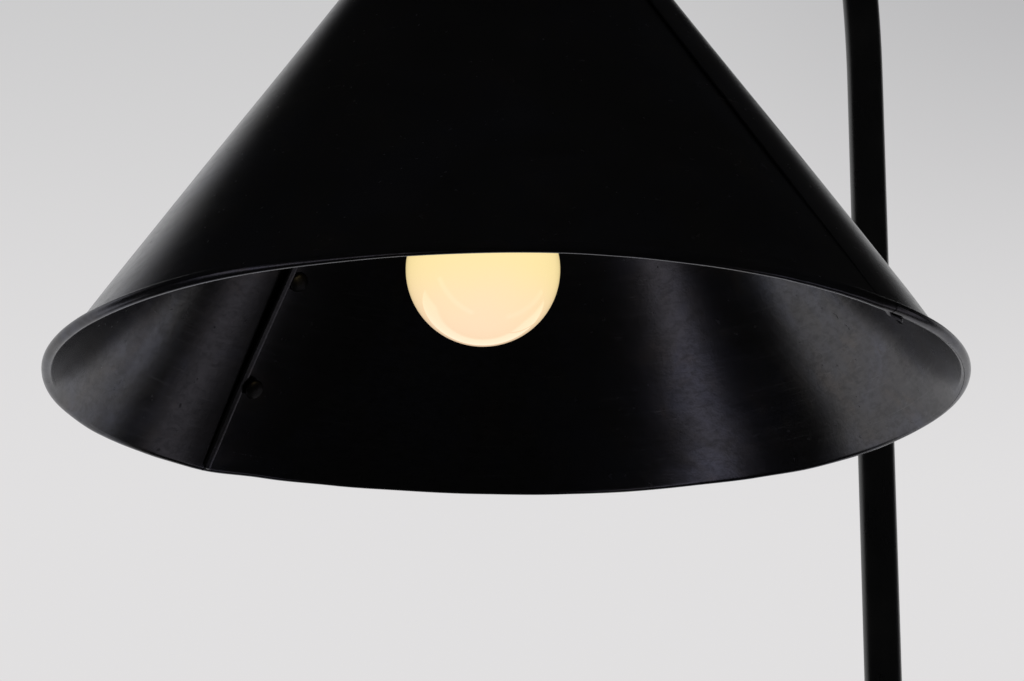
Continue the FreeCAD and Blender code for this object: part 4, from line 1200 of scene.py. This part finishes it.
nutSet = {  # across flats, bore, low face, high face
    "hubNut": (17.0, 5.1, 1476.0, 1500.0),
    "pipeNut": (14.0, 5.1, -13.9, -9.9),
    "chamfer": 0.32,
}


def hexNut(name, place, replaced):
    # Turned chamfers on a hexagon
    across, bore, low, high = nutSet[name]
    corner = across / math.sqrt(3)
    high2, low2 = high - nutSet["chamfer"], low + nutSet["chamfer"]
    flat = across / 2 * 0.97
    steps = 6
    climb = low2 + 0.5 - low
    rise = [(flat + (corner - flat) * k / steps, low + climb * (k / steps)) for k in range(steps + 1)]
    fall = [(r, low + high - h) for r, h in reversed(rise)]
    outline = [(bore, low2), (bore + 0.4, low)] + rise + [(corner, (low + high) / 2)]
    outline += fall + [(bore + 0.4, high), (bore, high2)]

    def sixSided(r, h, angle):
        turn = (angle + math.pi / 6) % (math.pi / 3) - math.pi / 6
        return min(r, across / 2 / math.cos(turn))

    nut = lathe(name, outline, place, 96, reach=sixSided)
    finishPiece(nut, "shade", "plated_steel", replaced)


hexNut("hubNut", uprightPlace, "hub_nut")
hexNut("pipeNut", holderPlace, "pipe_nut")


# ball joint: cup, knurled ring and stud

jointSet = {  # outlines are (radius, height, fillet)
    "cup": [
        (7.0, 1588.4, 0.3),
        (16.0, 1588.4, 2.4),
        (16.0, 1561.05, 0.3),
        (13.0, 1561.05),
        (13.0, 1584.0, 2.0),
        (7.0, 1584.0, 0.3),
    ],
    "ballRadius": 12.0,
    "ballHeight": 1565.0,
    "stemRadius": 5.0,
    "stud": [
        (5.0, 1553.5, 1.0),
        (5.0, 1521.0, 1.5),
        (8.0, 1519.0, 0.4),
        (9.0, 1516.0, 0.2),
        (5.0, 1516.0),
        (5.0, 1515.0),
        (4.9, 1490.2, 0.4),
        (0.0, 1490.2),
    ],
    "ring": [
        (10.6, 1560.9),
        (15.62, 1560.9, 0.3),
        (15.62, 1556.4, 0.2),
        (14.7, 1555.5, 0.3),
        (9.35, 1555.5, 0.3),
    ],
    "ribs": 60,
    "ribRadius": 15.62,
    "ribHigh": 0.38,
    "ribLow": 1556.9,
    "ribTop": 1560.1,
}


def makeJoint():
    s = jointSet
    finishPiece(lathe("ballCup", s["cup"], uprightPlace, 112), "cup", "tube_finish", "ball_cup")
    ball, middle = s["ballRadius"], s["ballHeight"]
    stud = [(0.0, middle + ball)]
    for k in range(1, 40):
        angle = math.pi / 2 - (math.pi / 2 + math.acos(s["stemRadius"] / ball)) * k / 40
        stud.append((ball * math.cos(angle), middle + ball * math.sin(angle)))
    stud += s["stud"]
    finishPiece(lathe("ballStud", stud, uprightPlace, 96), "shade", "tube_finish", "ball_stud")
    body = lathe("ringBody", s["ring"], uprightPlace, 120)
    half = (s["ribTop"] - s["ribLow"]) / 2
    foot, crest = -0.2, s["ribHigh"]
    rib = [(foot, -0.42, -half), (foot, 0.42, -half), (crest, 0.1, -half + 0.3), (crest, -0.1, -half + 0.3)]
    rib += [(foot, -0.42, half), (foot, 0.42, half), (crest, 0.1, half - 0.3), (crest, -0.1, half - 0.3)]
    sides = [(0, 1, 2, 3), (7, 6, 5, 4), (0, 4, 5, 1), (1, 5, 6, 2), (2, 6, 7, 3), (3, 7, 4, 0)]
    ridge = faceOutwards(newPiece("rib", [Vector(point) * mm for point in rib], sides))
    settings = {
        "Fastener": ridge,
        "Count": s["ribs"],
        "Spin": 0.0,
        "Seed": 1,
        "Finish": slotFinish["tube_finish"],
        "Radius": s["ribRadius"] * mm,
        "Begin": 0.0,
        "Centre": (shadeAxis.x, 0.0, (s["ribTop"] + s["ribLow"]) / 2 * mm),
        "Lean": (0.0, 0.0, 0.0),
    }
    knurl = repeated("knurl", fastenerRing, settings)
    bpy.data.objects.remove(ridge)
    finishPiece(joined("cupRing", [body, knurl]), "cup", "tube_finish", "cup_ring")


fastenerRing = ringTree()
makeJoint()
print("ball joint made")


# fluted switch knob

knobSet = {
    "near": 22.0,
    "far": 33.0,
    "radius": 7.0,
    "fillet": 1.5,
    "flutes": 12,
    "fluteDepth": 0.55,
    "bore": 1.9,
}


def makeKnob():
    s = knobSet
    outline = [(s["bore"], s["near"])]
    outline += [(s["radius"], s["near"], 0.5), (s["radius"], s["far"], s["fillet"]), (2.4, s["far"], 0.6)]
    dished, deep = s["far"] - 0.5, s["near"] + 6
    outline += [(2.0, dished), (0.0, dished), (0.0, deep), (s["bore"], deep)]

    def fluted(r, h, angle):
        groove = (0.5 + 0.5 * math.cos(angle * s["flutes"])) ** 2
        return r - s["fluteDepth"] * groove * smooth(r, s["radius"] - 2.2, s["radius"] - 0.4)

    return lathe("switchKnob", outline, knobPlace, 120, steps=8, reach=fluted)


finishPiece(makeKnob(), "switch", "black_plastic", "switch_knob")
print("knob moulded")


# what is left of the design's own nodes takes the finish of its slot

def finishRest():
    for name in nodes:
        for slot in bpy.data.objects[name].material_slots:
            base = slot.material.name.split(".")[0]
            if base in slotFinish:
                slot.material = slotFinish[base]


finishRest()
print("carried-over parts finished")


# studio: pale floor, a backdrop with painted shade that darkens it upwards and towards its upper right, two soft
# boxes seen only in reflections, one soft light overhead

studioSet = {
    "floorSize": 60.0,
    "floor": (0.66, 0.66, 0.65),
    "backLow": (0.755, 0.745, 0.75),
    # painted shade: the backdrop's upper tone, darker than its lower one because less light falls there
    "backdropShadedHigh": (0.555, 0.555, 0.56),
    "backdropShadedSide": (0.40, 0.40, 0.41),  # painted shade: the backdrop's darker upper right, where less light falls on it
    "diffuse": (0.80, 0.80, 0.81),
    "mirrorBack": 0.72,
    "mirrorFloor": 0.008,
    "mirrorCeiling": 0.006,
    "rise": (0.22, 0.44),  # painted shade: where the backdrop turns darker upwards
    "aside": (0.0, 0.17),  # and where it turns darker sideways, towards the upper right
    "turnFade": 0.4,
    "edgeShift": (0.20, 0.10),  # rightwards, leftwards
    "lidShift": (0.06, 0.10),
    "edge": (0.37, 0.51),  # where the bright wall behind starts in reflections, from the sides
    "foot": (-0.62, -0.50),  # and from below
    "lid": (0.36, 0.56),  # where it ends above
}


def direction(near, right, up):
    return (towards * near + rightward * right + Vector((0, 0, up))).normalized()


softBoxes = [  # direction, half widths in degrees, softness, brightness
    (direction(0.225, -0.71, -0.665), 4.2, 36.0, 0.05, (0.58, 0.56, 0.62)),
    (direction(-0.36, 0.83, -0.43), 4.5, 36.0, 0.06, (0.38, 0.37, 0.41)),
]


def makeStudio():
    s = studioSet
    world = bpy.data.worlds.new("studio")
    bpy.context.scene.world = world
    f = Finish(world)
    ray = f.node("ShaderNodeTexCoord").outputs["Generated"]
    up = f.dot(ray, (0, 0, 1))
    back = f.dot(ray, away)
    # painted shade: the backdrop seen by the camera is darker upwards and towards its upper right, a gradient
    # standing in for light falling off
    upper = f.mix(f.ramp(f.dot(ray, rightward), *s["aside"]), s["backdropShadedHigh"], s["backdropShadedSide"])
    shadedBackdrop = f.mix(f.ramp(up, *s["rise"]), s["backLow"], upper)
    leftwards = 1 - f.ramp(f.dot(ray, rightward), -s["turnFade"], 0.0)
    rightwards = f.ramp(f.dot(ray, rightward), 0.0, s["turnFade"])
    edge = back - rightwards * s["edgeShift"][0] + leftwards * s["edgeShift"][1]
    lid = up - leftwards * s["lidShift"][1] + rightwards * s["lidShift"][0]
    behind = f.ramp(edge, *s["edge"]) * f.ramp(up, *s["foot"]) * (1 - f.ramp(lid, *s["lid"]))
    ground = (1 - f.ramp(up, -0.05, 0.05)) * s["mirrorFloor"]
    level = behind * s["mirrorBack"] + (1 - behind) * (ground + s["mirrorCeiling"])
    glossy = f.join(level, level, level)
    for aim, wide, tall, soft, colour in softBoxes:
        side = aim.cross(Vector((0, 0, 1))).normalized()
        over = side.cross(aim)
        ahead = f.dot(ray, aim).math("MAXIMUM", 0.001)
        across = (f.dot(ray, side) / ahead).math("ABSOLUTE")
        along = (f.dot(ray, over) / ahead).math("ABSOLUTE")
        wideEdge, tallEdge = math.tan(math.radians(wide)), math.tan(math.radians(tall))
        inWidth = 1 - f.ramp(across, wideEdge - soft, wideEdge + soft)
        inHeight = 1 - f.ramp(along, tallEdge - soft, tallEdge + soft)
        glossy = f.mix(inWidth * inHeight, glossy, colour)
    path = f.node("ShaderNodeLightPath")
    seen = f.mix(path.outputs["Is Glossy Ray"], s["diffuse"], glossy)
    seen = f.mix(path.outputs["Is Camera Ray"], seen, shadedBackdrop)
    light = f.node("ShaderNodeBackground", None, {"Color": seen, "Strength": 1.0})
    f.node("ShaderNodeOutputWorld", None, {"Surface": light.outputs[0]})


def makeFloor():
    half = studioSet["floorSize"] / 2
    corners = [(-half, -half, 0), (half, -half, 0), (half, half, 0), (-half, half, 0)]
    floor = newPiece("floor", corners, [(0, 1, 2, 3)])
    f = newFinish("pale floor")
    floor.data.materials.append(f.surface(Base_Color=studioSet["floor"], Roughness=0.9))
    floor.visible_glossy = False


overheadSet = {"spot": (0.6, 0.6, 4.2), "target": (0.2, 0.0, 0.0), "size": 3.0, "power": 60}


def makeOverhead():
    s = overheadSet
    data = bpy.data.lights.new("overhead", "AREA")
    data.shape = "SQUARE"
    data.size = s["size"]
    data.energy = s["power"]
    light = linked("overhead", data)
    light.location = s["spot"]
    light.rotation_euler = (Vector(s["target"]) - Vector(s["spot"])).to_track_quat("-Z", "Y").to_euler()
    light.visible_glossy = False
    light.visible_camera = False


makeStudio()
makeFloor()
makeOverhead()
bpy.context.scene.view_settings.view_transform = "Standard"
print("studio lit")
